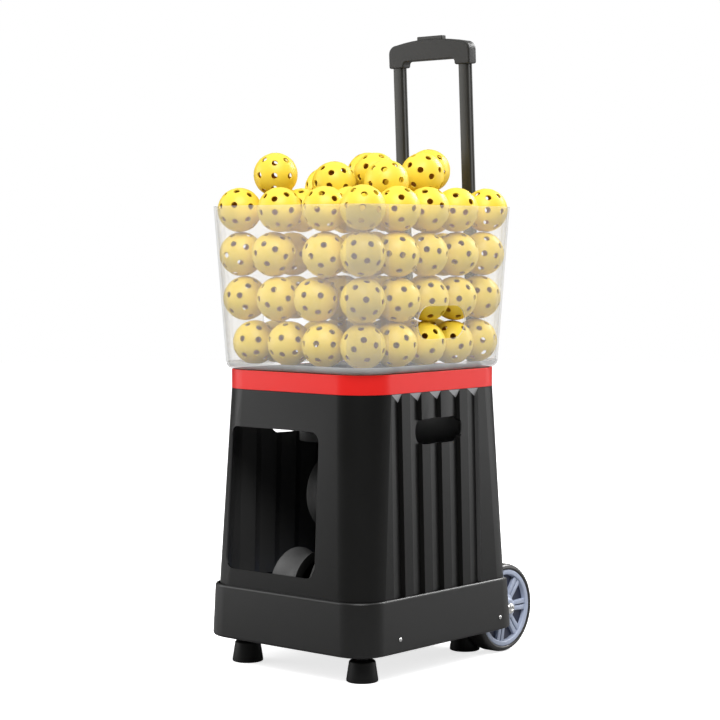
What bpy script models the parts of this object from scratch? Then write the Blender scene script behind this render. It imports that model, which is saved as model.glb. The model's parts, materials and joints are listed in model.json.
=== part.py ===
"""Wheeled ball-throwing machine with a clear lift-off hopper and a telescopic handle.

Metres, +Z up.  -Y is the front, with the launch window; left (-X) and right (+X) are as seen from
the front.  The origin is on the ground under the centre of the whole machine.
"""

import math

import bmesh
import bpy

# ---------------------------------------------------------------- driving dimensions
GAP = 0.0003                    # joint line between pieces that touch
WALL = 0.003                    # moulded shell thickness

BASE_BOTTOM = 0.0467            # underside of the base tray above the ground
BASE_HEIGHT = 0.0885
BASE_WIDTH = 0.3642             # across the bottom edge
BASE_DEPTH = 0.4212
BASE_DRAFT = 0.0030             # each side leans in by this much over the height
BASE_RADIUS = 0.0525
BASE_LIP = 0.0008               # flat inner end of the rolled edge
BASE_EDGE = 0.0043              # rolled top edge, which closes on the body
BASE_CORNER = 0.005             # rounding of the tray's bottom edge

BODY_HEIGHT = 0.3288            # from the tray's top edge to the trim band
BODY_TOP_WIDTH = 0.3310
BODY_TOP_DEPTH = 0.3728
BODY_LOW_RADIUS = 0.055
BODY_TOP_RADIUS = 0.063
BODY_TUCK = 0.030               # how far the body reaches down inside the tray
NECK_HEIGHT = 0.006             # how far it reaches up inside the trim band

RIDGE_COUNT = 5
RIDGE_PITCH = 0.0504
RIDGE_LAND = 0.021              # flat stretch behind each ridge
RIDGE_STEP = 0.0015             # width of the steep face at each ridge
FLUTE_DEPTH = 0.007
FLUTE_CAP = 0.0145              # height of the slanted facet that ends each flute
RIDGE_CENTRE = 0.0035           # middle ridge, from the body's centre

WINDOW_LEFT = -0.132
WINDOW_RIGHT = 0.069
WINDOW_SILL = 0.1646
WINDOW_HEIGHT = 0.2376
WINDOW_RADIUS = 0.018

GRIP_HOLE_LENGTH = 0.119
GRIP_HOLE_HEIGHT = 0.042
GRIP_HOLE_DROP = 0.065          # centre of the hole below the trim band

BAND_HEIGHT = 0.032
BAND_WALL = 0.0034
DECK_THICKNESS = 0.006

HOPPER_HEIGHT = 0.272
HOPPER_FOOT_WIDTH = 0.340       # just above the rounded bottom edge
HOPPER_FOOT_DEPTH = 0.384
HOPPER_RIM_WIDTH = 0.3658
HOPPER_RIM_DEPTH = 0.4154
HOPPER_RADIUS = 0.0572
HOPPER_EDGE = 0.012
HOPPER_WALL = 0.003
HOPPER_BAY_MARGIN = 0.008       # side room for the grip in the rear bay
HOPPER_BAY_SLOPE = 0.010
HOPPER_BAY_CLEARANCE = 0.0025
HAND_HOLE_LENGTH = 0.124
HAND_HOLE_HEIGHT = 0.054
HAND_HOLE_RISE = 0.081          # centre of the hand hole above the hopper's underside
HAND_HOLE_Y = -0.003

BALL_DIAMETER = 0.074
BALL_CLEARANCE = 0.0025

FOOT_HEIGHT = 0.035
FOOT_BOTTOM_RADIUS = 0.0265
FOOT_TOP_RADIUS = 0.0205
FRONT_FOOT_X = 0.128
FRONT_FOOT_Y = -0.151
REAR_FOOT_X = 0.0925
REAR_FOOT_Y = 0.164
STEM_RADIUS = 0.0105
STUD_RADIUS = 0.004
STUD_REACH = 0.007              # stud end above the chassis pan's floor

CHASSIS_THICKNESS = 0.002
CHASSIS_FLANGE = 0.032
SCREW_RADIUS = 0.0035
SCREW_SHANK = 0.002
SCREW_LENGTH = 0.008
FRONT_SCREW_Y = -0.119
REAR_SCREW_Y = 0.148
SCREW_RISE = 0.0225             # above the base tray's underside

WHEEL_RADIUS = 0.0760
WHEEL_WIDTH = 0.040
WHEEL_FACE_X = 0.160            # outer face of the tyre
WHEEL_Y = 0.194
WHEEL_LIFT = 0.0006             # the tyres just clear the ground while the machine stands
RIM_RADIUS = 0.0665
RIM_WINDOWS = 7
RIM_LIP = 0.006                 # radial width of the rim's outer flange
RIM_RECESS = 0.003              # face of the disc behind the tyre's side
RIM_BACK = 0.015                # back of the disc behind the tyre's side
RIM_WINDOW_DEPTH = 0.008
HUB_RADIUS = 0.021
HUB_RISE = 0.007                # hub boss beyond the tyre's face
HUB_BOLT_RADIUS = 0.0095
HUB_BOLT_RISE = 0.006
AXLE_RADIUS = 0.006
WELL_CLEARANCE = 0.007
WELL_SIDE_CLEARANCE = 0.0056
HUB_CLEARANCE = 0.0015
AXLE_BRACKET_X = 0.100
AXLE_BRACKET_WALL = 0.010
AXLE_BRACKET_WIDTH = 0.012

HANDLE_HALF_SPAN = 0.0732       # tube centres from the middle
HANDLE_STANDOFF = 0.0196        # rear wall to the front face of the tubes
TUBE_WIDTH = 0.021
TUBE_DEPTH = 0.015
TUBE_WALL = 0.0015
TUBE_CLEARANCE = 0.0005
SLEEVE_WALL = 0.002
SLEEVE_TOP = 0.030              # above the body's top edge, measured along the rear wall
SLEEVE_BOTTOM = -0.400
TUBE_OVERLAP = 0.080            # tube left inside the sleeve when pulled right out
HANDLE_REACH = 0.5518           # underside of the grip's legs above the body's top edge
BRACKET_HEIGHT = 0.030
BRACKET_MARGIN = 0.006
UPPER_BRACKET_DROP = 0.030
LOWER_BRACKET_DROP = 0.300

GRIP_WIDTH = 0.180
GRIP_DEPTH = 0.022
GRIP_LEG_WIDTH = 0.033
GRIP_LEG_DROP = 0.0105
GRIP_END_HEIGHT = 0.040
GRIP_CROWN = 0.0075             # how far the arched top rises above its ends
GRIP_RADIUS = 0.015
BUTTON_LENGTH = 0.056
BUTTON_DEPTH = 0.012
BUTTON_RISE = 0.005
BUTTON_TRAVEL = 0.003
BUTTON_POCKET = 0.010           # depth of the button's pocket below the grip's crest
BUTTON_CLEARANCE = 0.0005
TUBE_SOCKET = 0.012             # how far the tubes reach up into the grip

FEEDER_RADIUS = 0.1135
FEEDER_HEIGHT = 0.050
FEEDER_POCKETS = 5
FEEDER_BOSS_RADIUS = 0.012
FEEDER_MOTOR_RADIUS = 0.022
FEEDER_MOTOR_LENGTH = 0.046
FEEDER_BOSS_LENGTH = 0.0125
FEEDER_SHAFT_REACH = 0.030      # motor shaft above the rotor's underside
ROTOR_CAP_RISE = 0.018          # domed centre above the rotor's rim
ROTOR_CAP_RADIUS = 0.026
PAN_CLEARANCE = 0.0035
PAN_WALL = 0.003
POCKET_CLEARANCE = 0.0025       # pocket radius beyond the ball's

HEAD_X = -0.010                 # middle plane of the throwing wheels
SWEEP_Y = 0.075                 # the ball drops down the sweep axis
HEAD_Y = -0.0835                # elevation pivot
HEAD_Z = 0.2095
HEAD_REST_PITCH = 31.0
THROW_SPREAD = 0.176            # between the two wheel shafts
THROW_RADIUS = 0.067
THROW_WIDTH = 0.052
THROW_HUB_RADIUS = 0.048
THROW_HUB_WIDTH = 0.030
THROW_MOTOR_RADIUS = 0.026
THROW_MOTOR_LENGTH = 0.055
SHAFT_RADIUS = 0.004
PLATE_THICKNESS = 0.004
PLATE_RADIUS = 0.052
PLATE_OFFSET = 0.017            # tyre side to head plate
PLATE_TAIL_TOP = -0.012         # strip of the head plate that carries the ball guide
PLATE_TAIL_BOTTOM = -0.040
YOKE_OFFSET = 0.0025            # head plate to yoke
YOKE_LEG = 0.018
YOKE_ARM = 0.030
PIVOT_RADIUS = 0.008
PIVOT_MOTOR_RADIUS = 0.024
PIVOT_MOTOR_LENGTH = 0.040

CHUTE_WALL = 0.003
CHUTE_BOTTOM = 0.225
SWIVEL_HEIGHT = 0.006
RETAINER_WALL = 0.0037
RETAINER_LIP = 0.004            # under the swivel ring's outer edge
RETAINER_CLEARANCE = 0.0004     # retainer's lip to the corners of the yoke
RETAINER_FLOOR = 0.0027
DRIVE_WHEEL_HEIGHT = 0.016
DRIVE_WHEEL_DROP = 0.036        # top of the friction wheel below the swivel ring's top
SWEEP_MOTOR_X = -0.098
SWEEP_MOTOR_Y = 0.030
SWEEP_MOTOR_RADIUS = 0.018
SWEEP_MOTOR_LENGTH = 0.024
GUIDE_START = 0.062             # ball guide, along the throwing line behind the pivot
GUIDE_END = 0.210

PANEL_WIDTH = 0.090
PANEL_HEIGHT = 0.100
PANEL_DEPTH = 0.010
PANEL_DROP = 0.190              # panel centre below the body's top edge
ROCKER_WIDTH = 0.019
ROCKER_HEIGHT = 0.026
ROCKER_CLEARANCE = 0.0012
SOCKET_RADIUS = 0.008
BATTERY_SIZE = (0.078, 0.120, 0.088)
BATTERY_SPOT = (-0.114, 0.035)
CONTROLLER_SIZE = (0.070, 0.110, 0.050)
CONTROLLER_SPOT = (0.118, 0.035)

# ---------------------------------------------------------------- worked out from them
BASE_TOP = BASE_BOTTOM + BASE_HEIGHT
BODY_TOP = BASE_TOP + BODY_HEIGHT
BAND_TOP = BODY_TOP + BAND_HEIGHT
HOPPER_BOTTOM = BAND_TOP + GAP
HOPPER_TOP = HOPPER_BOTTOM + HOPPER_HEIGHT
BODY_BASE_WIDTH = BASE_WIDTH - 2 * (BASE_DRAFT + BASE_EDGE + GAP)
BODY_BASE_DEPTH = BASE_DEPTH - 2 * (BASE_DRAFT + BASE_EDGE + GAP)
REAR_TILT = math.atan2((BODY_BASE_DEPTH - BODY_TOP_DEPTH) / 2, BODY_HEIGHT)
CHASSIS_BOTTOM = BASE_BOTTOM + WALL + GAP
CHASSIS_TOP = CHASSIS_BOTTOM + CHASSIS_THICKNESS
WHEEL_X = WHEEL_FACE_X - WHEEL_WIDTH / 2
WHEEL_Z = WHEEL_RADIUS + WHEEL_LIFT
CENTRE_Y = (BASE_DEPTH / 2 - WHEEL_Y - WHEEL_RADIUS) / 2

SLEEVE_WIDTH = TUBE_WIDTH + 2 * (TUBE_CLEARANCE + SLEEVE_WALL)
SLEEVE_DEPTH = TUBE_DEPTH + 2 * (TUBE_CLEARANCE + SLEEVE_WALL)
TUBE_Y = HANDLE_STANDOFF + TUBE_DEPTH / 2

PAN_RADIUS = FEEDER_RADIUS + PAN_CLEARANCE + PAN_WALL
PAN_FLOOR = HOPPER_BOTTOM - BALL_DIAMETER - BALL_CLEARANCE
PAN_BOTTOM = PAN_FLOOR - PAN_WALL
PAN_TOP = BAND_TOP - GAP
POCKET_RADIUS = BALL_DIAMETER / 2 + POCKET_CLEARANCE
POCKET_CIRCLE = math.hypot(HEAD_X, SWEEP_Y)
ROTOR_BOTTOM = PAN_FLOOR + PAN_CLEARANCE
CHUTE_RADIUS = POCKET_RADIUS + CHUTE_WALL
SWIVEL_TOP = PAN_BOTTOM - GAP
SWIVEL_INNER = CHUTE_RADIUS + GAP
DRIVE_DISTANCE = math.hypot(SWEEP_MOTOR_X - HEAD_X, SWEEP_MOTOR_Y - SWEEP_Y)
DRIVE_WHEEL_RADIUS = DRIVE_DISTANCE - CHUTE_RADIUS - GAP

BORE_RADIUS = SHAFT_RADIUS + GAP
PLATE_INNER = THROW_WIDTH / 2 + PLATE_OFFSET
PLATE_OUTER = PLATE_INNER + PLATE_THICKNESS
YOKE_INNER = PLATE_OUTER + YOKE_OFFSET
YOKE_OUTER = YOKE_INNER + PLATE_THICKNESS
FLAT_SHARE = math.cos(math.pi / 24)     # middle of a turned piece's flats, against its radius
RETAINER_INNER = math.hypot(YOKE_OUTER, YOKE_LEG / 2) / FLAT_SHARE + RETAINER_CLEARANCE
SWIVEL_OUTER = RETAINER_INNER + RETAINER_LIP
RACE_RADIUS = SWIVEL_OUTER / FLAT_SHARE + GAP     # its flats clear the turning ring's corners
RETAINER_OUTER = RACE_RADIUS + RETAINER_WALL

# Euler angles that stand a flat outline or a turned piece the right way.
ALONG_X = (0.0, math.radians(90), 0.0)
AGAINST_X = (0.0, math.radians(-90), 0.0)
ALONG_Y = (math.radians(-90), 0.0, 0.0)
SIDE_VIEW = (math.radians(90), 0.0, math.radians(90))
REAR_VIEW = (math.radians(90), 0.0, 0.0)


def between(low, high, share):
    return low + (high - low) * share


def tray_half(z):
    """Half width and half depth of the base tray's outer wall at a height."""
    inset = BASE_DRAFT * (z - BASE_BOTTOM) / BASE_HEIGHT
    return BASE_WIDTH / 2 - inset, BASE_DEPTH / 2 - inset


def body_section(z):
    """Half width, half depth and corner radius of the body at a height."""
    share = max(0.0, (z - BASE_TOP) / BODY_HEIGHT)
    half_x = between(BODY_BASE_WIDTH, BODY_TOP_WIDTH, share) / 2
    half_y = between(BODY_BASE_DEPTH, BODY_TOP_DEPTH, share) / 2
    return half_x, half_y, between(BODY_LOW_RADIUS, BODY_TOP_RADIUS, share)


def rear_wall_y(z):
    """The rear face's plane, carried on upwards past the body."""
    return BODY_TOP_DEPTH / 2 - (z - BODY_TOP) * math.tan(REAR_TILT)


# The grip must pass behind the hopper's rim as the handle goes down.
HOPPER_BAY_Y = rear_wall_y(HOPPER_TOP) + TUBE_Y - GRIP_DEPTH / 2 - HOPPER_BAY_CLEARANCE


# ---------------------------------------------------------------- scene helpers
def clear_scene():
    for item in list(bpy.data.objects):
        bpy.data.objects.remove(item)


def make_collection(name):
    group = bpy.data.collections.new(name)
    bpy.context.scene.collection.children.link(group)
    return group


def make_material(name, colour, roughness, metallic=0.0, alpha=1.0):
    material = bpy.data.materials.new(name)
    material.use_nodes = True
    shader = material.node_tree.nodes["Principled BSDF"]
    shader.inputs["Base Color"].default_value = (*colour, 1.0)
    shader.inputs["Roughness"].default_value = roughness
    shader.inputs["Metallic"].default_value = metallic
    shader.inputs["Alpha"].default_value = alpha
    return material


def make_empty(name, location, rotation=(0.0, 0.0, 0.0), parent=None):
    empty = bpy.data.objects.new(name, None)
    parts.objects.link(empty)
    empty.parent = parent
    empty.location = location
    empty.rotation_euler = rotation
    return empty


clear_scene()
parts = make_collection("ball_machine")
cutters = make_collection("cutters")

machine = make_empty("machine_centre", (0.0, CENTRE_Y, 0.0))
rear_edge = (0.0, BODY_TOP_DEPTH / 2, BODY_TOP)
rear_face = make_empty("rear_face", rear_edge, (REAR_TILT, 0.0, 0.0), machine)
sweep_axis = make_empty("sweep_axis", (HEAD_X, SWEEP_Y, 0.0), parent=machine)
head_tilt = (-math.radians(HEAD_REST_PITCH), 0.0, 0.0)
launch_axis = make_empty("launch_axis", (HEAD_X, HEAD_Y, HEAD_Z), head_tilt, machine)

black_plastic = make_material("black_plastic", (0.022, 0.022, 0.021), 0.45)
red_plastic = make_material("red_plastic", (0.75, 0.03, 0.03), 0.35)
clear_plastic = make_material("clear_plastic", (0.92, 0.93, 0.94), 0.05, alpha=0.25)
rubber = make_material("rubber", (0.012, 0.012, 0.012), 0.8)
throw_rubber = make_material("throw_rubber", (0.12, 0.12, 0.12), 0.6)
rim_plastic = make_material("rim_plastic", (0.34, 0.40, 0.56), 0.4)
steel = make_material("steel", (0.62, 0.62, 0.62), 0.25, 1.0)
zinc_plate = make_material("zinc_plate", (0.5, 0.5, 0.48), 0.4, 1.0)
handle_metal = make_material("handle_metal", (0.05, 0.05, 0.048), 0.4, 0.6)
motor_metal = make_material("motor_metal", (0.3, 0.3, 0.31), 0.4, 0.9)
white_plastic = make_material("white_plastic", (0.75, 0.75, 0.73), 0.5)
battery_plastic = make_material("battery_plastic", (0.05, 0.12, 0.35), 0.45)


def set_object(item, group, parent, location, rotation):
    group.objects.link(item)
    item.parent = parent or machine
    item.location = location
    item.rotation_euler = rotation
    return item


def place(name, mesh, material, parent=None, location=(0.0, 0.0, 0.0), rotation=(0.0, 0.0, 0.0)):
    mesh.materials.append(material)
    return set_object(bpy.data.objects.new(name, mesh), parts, parent, location, rotation)


def make_cutter(name, mesh, parent=None, location=(0.0, 0.0, 0.0), rotation=(0.0, 0.0, 0.0)):
    item = set_object(bpy.data.objects.new(name, mesh), cutters, parent, location, rotation)
    item.hide_render = True
    item.display_type = "WIRE"
    return item


def cut(item, *tools):
    for tool in tools:
        boolean = item.modifiers.new("cut_" + tool.name, "BOOLEAN")
        boolean.operation = "DIFFERENCE"
        boolean.solver = "EXACT"
        boolean.object = tool


# ---------------------------------------------------------------- mesh helpers
def finish_mesh(bm, name, smooth=True):
    mesh = bpy.data.meshes.new(name)
    bm.to_mesh(mesh)
    bm.free()
    if smooth:
        mesh.shade_smooth()
        mesh.set_sharp_from_angle(angle=math.radians(40))
    return mesh


def block_mesh(name, size, bevel=0.0, along="XYZ", segments=2):
    """A box centred on its origin, with the edges that run along the named axes rounded."""
    bm = bmesh.new()
    bmesh.ops.create_cube(bm, size=1.0)
    bmesh.ops.scale(bm, vec=size, verts=bm.verts)
    if bevel > 0.0:
        chosen = [edge for edge in bm.edges if edge_axis(edge) in along]
        bmesh.ops.bevel(bm, geom=chosen, offset=bevel, segments=segments, profile=0.5, affect="EDGES")
    return finish_mesh(bm, name)


def edge_axis(edge):
    run = edge.verts[1].co - edge.verts[0].co
    return max("XYZ", key=lambda axis: abs(run["XYZ".index(axis)]))


def rod_mesh(name, radius, length, segments=24, top_radius=None):
    """A cylinder or a cone along Z, centred on its origin."""
    bm = bmesh.new()
    top = radius if top_radius is None else top_radius
    bmesh.ops.create_cone(bm, cap_ends=True, segments=segments, radius1=radius, radius2=top, depth=length)
    return finish_mesh(bm, name)


def slot_mesh(name, length, height, depth):
    """A plug with round ends: long along Y, high along Z, deep along X."""
    return block_mesh(name, (depth, length, height), height / 2 - GAP, "X", 6)


def turned(name, profile, material, parent=None, location=(0.0, 0.0, 0.0), rotation=(0.0, 0.0, 0.0),
           ring=False, steps=24):
    """A lathe-turned solid; the profile's radius and height pairs run down its outer side."""
    bm = bmesh.new()
    verts = [bm.verts.new((radius, 0.0, height)) for radius, height in profile]
    for first, second in zip(verts, verts[1:]):
        bm.edges.new((first, second))
    if ring:
        bm.edges.new((verts[-1], verts[0]))
    item = place(name, finish_mesh(bm, name, smooth=False), material, parent, location, rotation)
    screw = item.modifiers.new("turn", "SCREW")
    screw.axis = "Z"
    screw.angle = math.radians(360)
    screw.steps = steps
    screw.render_steps = steps
    screw.use_merge_vertices = True
    screw.merge_threshold = 0.00001
    screw.use_smooth_shade = True
    return item


def ring_profile(inner, outer, bottom, top):
    return [(outer, top), (outer, bottom), (inner, bottom), (inner, top)]


def corner_arcs(half_x, half_y, radius, steps):
    """Four rounded corners, anticlockwise from the front right one."""
    corners = []
    for index, (side_x, side_y) in enumerate(((1, -1), (1, 1), (-1, 1), (-1, -1))):
        centre = (side_x * (half_x - radius), side_y * (half_y - radius))
        corners.append(arc_points(radius, centre, 90 * (index - 1), 90, steps))
    return corners


def arc_points(radius, centre=(0.0, 0.0), start=0.0, sweep=360.0, steps=24):
    """Points round an arc; a full circle leaves out the repeated end."""
    count = steps if sweep >= 360.0 else steps + 1
    angles = [math.radians(start + sweep * step / steps) for step in range(count)]
    return [(centre[0] + radius * math.cos(a), centre[1] + radius * math.sin(a)) for a in angles]


def plain_ring(half_x, half_y, radius, steps=6):
    return [point for arc in corner_arcs(half_x, half_y, radius, steps) for point in arc]


def loft_mesh(name, levels, close_bottom=False, close_top=False, fold=False):
    """Skin a stack of (outline, height) levels; fold splits each bent quad from its deeper low corner."""
    bm = bmesh.new()
    rings = [[bm.verts.new((x, y, height)) for x, y in outline] for outline, height in levels]
    for low, high in zip(rings, rings[1:]):
        for index in range(len(low)):
            after = (index + 1) % len(low)
            skin_quad(bm, (low[index], low[after], high[after], high[index]), fold)
    if close_bottom:
        bm.faces.new(tuple(reversed(rings[0])))
    if close_top:
        bm.faces.new(tuple(rings[-1]))
    return finish_mesh(bm, name)


def skin_quad(bm, corners, fold):
    first, second, third, fourth = corners
    if not fold:
        bm.faces.new(corners)
    elif abs(first.co.x) < abs(second.co.x):
        bm.faces.new((first, second, third))
        bm.faces.new((first, third, fourth))
    else:
        bm.faces.new((first, second, fourth))
        bm.faces.new((second, third, fourth))


def rounded_foot_levels(section, edge, bottom, steps):
    """Levels that round a tub's bottom edge; section(z) gives half width, half depth and radius."""
    levels = []
    for step in range(steps + 1):
        angle = math.radians(90 * step / steps)
        height = bottom + edge * (1 - math.cos(angle))
        half_x, half_y, radius = section(height)
        inset = edge * (1 - math.sin(angle))
        levels.append((half_x - inset, half_y - inset, radius - inset, height))
    return levels


def thicken(item, wall):
    """Give an open outer surface its wall, inwards."""
    solid = item.modifiers.new("wall", "SOLIDIFY")
    solid.thickness = wall
    solid.offset = -1.0
    solid.use_even_offset = True


def flat_mesh(name, outlines, thickness):
    """A flat outline, filled and extruded; outlines inside another one are holes."""
    curve = bpy.data.curves.new(name, "CURVE")
    curve.dimensions = "2D"
    curve.fill_mode = "BOTH"
    curve.extrude = thickness / 2
    for outline in outlines:
        spline = curve.splines.new("POLY")
        spline.points.add(len(outline) - 1)
        for point, (u, v) in zip(spline.points, outline):
            point.co = (u, v, 0.0, 1.0)
        spline.use_cyclic_u = True
    shape = bpy.data.objects.new(name + "_outline", curve)
    cutters.objects.link(shape)
    graph = bpy.context.evaluated_depsgraph_get()
    bm = bmesh.new()
    bm.from_mesh(bpy.data.meshes.new_from_object(shape.evaluated_get(graph)))
    bpy.data.objects.remove(shape)
    bmesh.ops.remove_doubles(bm, verts=bm.verts, dist=0.00001)
    bmesh.ops.dissolve_limit(bm, angle_limit=math.radians(1), verts=bm.verts, edges=bm.edges)
    return finish_mesh(bm, name)


def soften(item, width, segments=2):
    bevel = item.modifiers.new("soft_edges", "BEVEL")
    bevel.width = width
    bevel.segments = segments
    bevel.limit_method = "ANGLE"
    bevel.angle_limit = math.radians(40)


# ---------------------------------------------------------------- cutters that several pieces share
def wheel_wells(name, outer_x):
    """Room for both wheels, from inside each tyre to a distance from the middle."""
    inner_x = WHEEL_FACE_X - WHEEL_WIDTH - WELL_SIDE_CLEARANCE
    wells = []
    for side, word in ((-1, "left"), (1, "right")):
        mesh = rod_mesh(name + word, WHEEL_RADIUS + WELL_CLEARANCE, outer_x - inner_x, 32)
        spot = (side * (inner_x + outer_x) / 2, WHEEL_Y, WHEEL_Z)
        wells.append(make_cutter(name + word, mesh, location=spot, rotation=ALONG_X))
    return wells


def foot_spots():
    spots = {}
    for side, word in ((-1, "left"), (1, "right")):
        spots["front_" + word] = (side * FRONT_FOOT_X, FRONT_FOOT_Y)
        spots["rear_" + word] = (side * REAR_FOOT_X, REAR_FOOT_Y)
    return spots


def stud_holes():
    holes = []
    for word, (x, y) in foot_spots().items():
        mesh = rod_mesh("stud_hole_" + word, STUD_RADIUS + GAP, 0.03, 12)
        holes.append(make_cutter("stud_hole_" + word, mesh, location=(x, y, BASE_BOTTOM)))
    return holes


def screw_holes():
    holes = []
    for word, y in (("front", FRONT_SCREW_Y), ("rear", REAR_SCREW_Y)):
        mesh = rod_mesh("screw_hole_" + word, SCREW_SHANK + GAP, BASE_WIDTH + 0.02, 12)
        holes.append(make_cutter("screw_hole_" + word, mesh, location=(0.0, y, BASE_BOTTOM + SCREW_RISE),
                                 rotation=ALONG_X))
    return holes


# ---------------------------------------------------------------- base
def base_tray(holes):
    def section(z):
        return (*tray_half(z), BASE_RADIUS)

    levels = rounded_foot_levels(section, BASE_CORNER, BASE_BOTTOM, 2)
    half_x, half_y = tray_half(BASE_TOP)
    curl = BASE_EDGE - BASE_LIP
    for step in range(4):
        angle = math.radians(30 * step)
        inset = curl * (1 - math.cos(angle))
        height = BASE_TOP - curl * (1 - math.sin(angle))
        levels.append((half_x - inset, half_y - inset, BASE_RADIUS - inset, height))
    levels.append((half_x - BASE_EDGE, half_y - BASE_EDGE, BASE_RADIUS - BASE_EDGE, BASE_TOP))
    rings = [(plain_ring(x, y, radius), z) for x, y, radius, z in levels]
    item = place("base_tray", loft_mesh("base_tray", rings, close_bottom=True), black_plastic)
    thicken(item, WALL)
    cut(item, *holes)


def chassis_pan(holes):
    rings = []
    for rise, inset in ((0.0, BASE_CORNER - WALL), (0.003, 0.0), (CHASSIS_FLANGE, 0.0)):
        half_x, half_y = tray_half(CHASSIS_BOTTOM + rise)
        inward = WALL + GAP + inset
        outline = plain_ring(half_x - inward, half_y - inward, BASE_RADIUS - inward)
        rings.append((outline, CHASSIS_BOTTOM + rise))
    item = place("chassis_pan", loft_mesh("chassis_pan", rings, close_bottom=True), zinc_plate)
    thicken(item, CHASSIS_THICKNESS)
    cut(item, *holes)


def chassis_back():
    """Inner face of the chassis pan's rear flange, at its foot."""
    return tray_half(CHASSIS_BOTTOM)[1] - GAP - BASE_CORNER - CHASSIS_THICKNESS


def feet():
    for word, (x, y) in foot_spots().items():
        cone = rod_mesh("foot_" + word, FOOT_BOTTOM_RADIUS, FOOT_HEIGHT, 24, FOOT_TOP_RADIUS)
        place("foot_" + word, cone, rubber, location=(x, y, FOOT_HEIGHT / 2))
        bottom = FOOT_HEIGHT + GAP
        shoulder = BASE_BOTTOM - GAP
        top = CHASSIS_TOP + STUD_REACH
        profile = [(0.0, top), (STUD_RADIUS, top), (STUD_RADIUS, shoulder), (STEM_RADIUS, shoulder),
                   (STEM_RADIUS, bottom), (0.0, bottom)]
        turned("foot_stem_" + word, profile, zinc_plate, location=(x, y, 0.0), steps=12)


def base_screws():
    z = BASE_BOTTOM + SCREW_RISE
    face = tray_half(z)[0] + GAP
    profile = [(0.0, 0.0018), (0.0022, 0.0015), (SCREW_RADIUS, 0.0004), (SCREW_RADIUS, 0.0),
               (SCREW_SHANK, 0.0), (SCREW_SHANK, -SCREW_LENGTH), (0.0, -SCREW_LENGTH)]
    for side, word, turn in ((-1, "left", AGAINST_X), (1, "right", ALONG_X)):
        for end, y in (("front", FRONT_SCREW_Y), ("rear", REAR_SCREW_Y)):
            spot = (side * face, y, z)
            turned(f"base_screw_{end}_{word}", profile, steel, location=spot, rotation=turn, steps=12)


# ---------------------------------------------------------------- body, band and deck
def body_outline(z, flute, inset=0.0):
    """The body's section at a height, with its side flutes at a share of their depth."""
    half_x, half_y, radius = body_section(z)
    corners = corner_arcs(half_x - inset, half_y - inset, radius - inset, 6)
    right = flute_points(half_x - inset, half_y - radius, flute)
    left = [(-x, y) for x, y in reversed(right)]
    return corners[0] + right + corners[1] + corners[2] + left + corners[3]


def flute_points(half_x, straight, flute):
    """Front to rear along the right side: each ramp deepens to a steep step at the next ridge."""
    points = []
    for index in range(RIDGE_COUNT):
        ridge = RIDGE_CENTRE + RIDGE_PITCH * (index - (RIDGE_COUNT - 1) / 2)
        ramp = max(ridge - RIDGE_PITCH + RIDGE_LAND, 0.001 - straight)
        points.append((half_x, ramp))
        points.append((half_x - FLUTE_DEPTH * flute, ridge - RIDGE_STEP))
        points.append((half_x, ridge))
    return points


def body_shell(wells):
    top = BODY_TOP - GAP
    heights = ((BASE_TOP - BODY_TUCK, 1.0), (BASE_TOP, 1.0), (BODY_TOP - FLUTE_CAP, 1.0), (top, 0.0))
    levels = [(body_outline(z, flute), z) for z, flute in heights]
    neck = body_outline(BODY_TOP, 0.0, BAND_WALL + GAP)
    levels += [(neck, top), (neck, BODY_TOP + NECK_HEIGHT)]
    item = place("body_shell", loft_mesh("body_shell", levels, fold=True), black_plastic)
    thicken(item, WALL)
    cut(item, launch_window(), *grip_holes(), *wells)


def launch_window():
    size = (WINDOW_RIGHT - WINDOW_LEFT, BODY_BASE_DEPTH / 4, WINDOW_HEIGHT)
    centre = ((WINDOW_RIGHT + WINDOW_LEFT) / 2, -BODY_BASE_DEPTH / 2, WINDOW_SILL + WINDOW_HEIGHT / 2)
    mesh = block_mesh("launch_window", size, WINDOW_RADIUS, "Y", 5)
    return make_cutter("launch_window", mesh, location=centre)


def grip_holes():
    holes = []
    z = BODY_TOP - GRIP_HOLE_DROP
    for side, word in ((-1, "left"), (1, "right")):
        mesh = slot_mesh("grip_hole_" + word, GRIP_HOLE_LENGTH, GRIP_HOLE_HEIGHT, 0.05)
        holes.append(make_cutter("grip_hole_" + word, mesh, location=(side * body_section(z)[0], 0.0, z)))
    return holes


def trim_band():
    half_x, half_y, radius = body_section(BODY_TOP)
    outline = plain_ring(half_x, half_y, radius)
    item = place("trim_band", loft_mesh("trim_band", [(outline, BODY_TOP), (outline, BAND_TOP)]), red_plastic)
    thicken(item, BAND_WALL)


def top_deck():
    half_x, half_y, radius = body_section(BODY_TOP)
    inset = BAND_WALL + GAP
    outline = plain_ring(half_x - inset, half_y - inset, radius - inset)
    levels = [(outline, PAN_TOP - DECK_THICKNESS), (outline, PAN_TOP)]
    item = place("top_deck", loft_mesh("top_deck", levels, close_bottom=True, close_top=True), black_plastic)
    hole = rod_mesh("pan_hole", PAN_RADIUS + GAP, 0.05, 36)
    cut(item, make_cutter("pan_hole", hole, location=(0.0, 0.0, PAN_TOP)))


# ---------------------------------------------------------------- hopper
def hopper_section(z):
    share = max(0.0, (z - HOPPER_BOTTOM - HOPPER_EDGE) / (HOPPER_HEIGHT - HOPPER_EDGE))
    half_x = between(HOPPER_FOOT_WIDTH, HOPPER_RIM_WIDTH, share) / 2
    return half_x, between(HOPPER_FOOT_DEPTH, HOPPER_RIM_DEPTH, share) / 2, HOPPER_RADIUS


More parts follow.
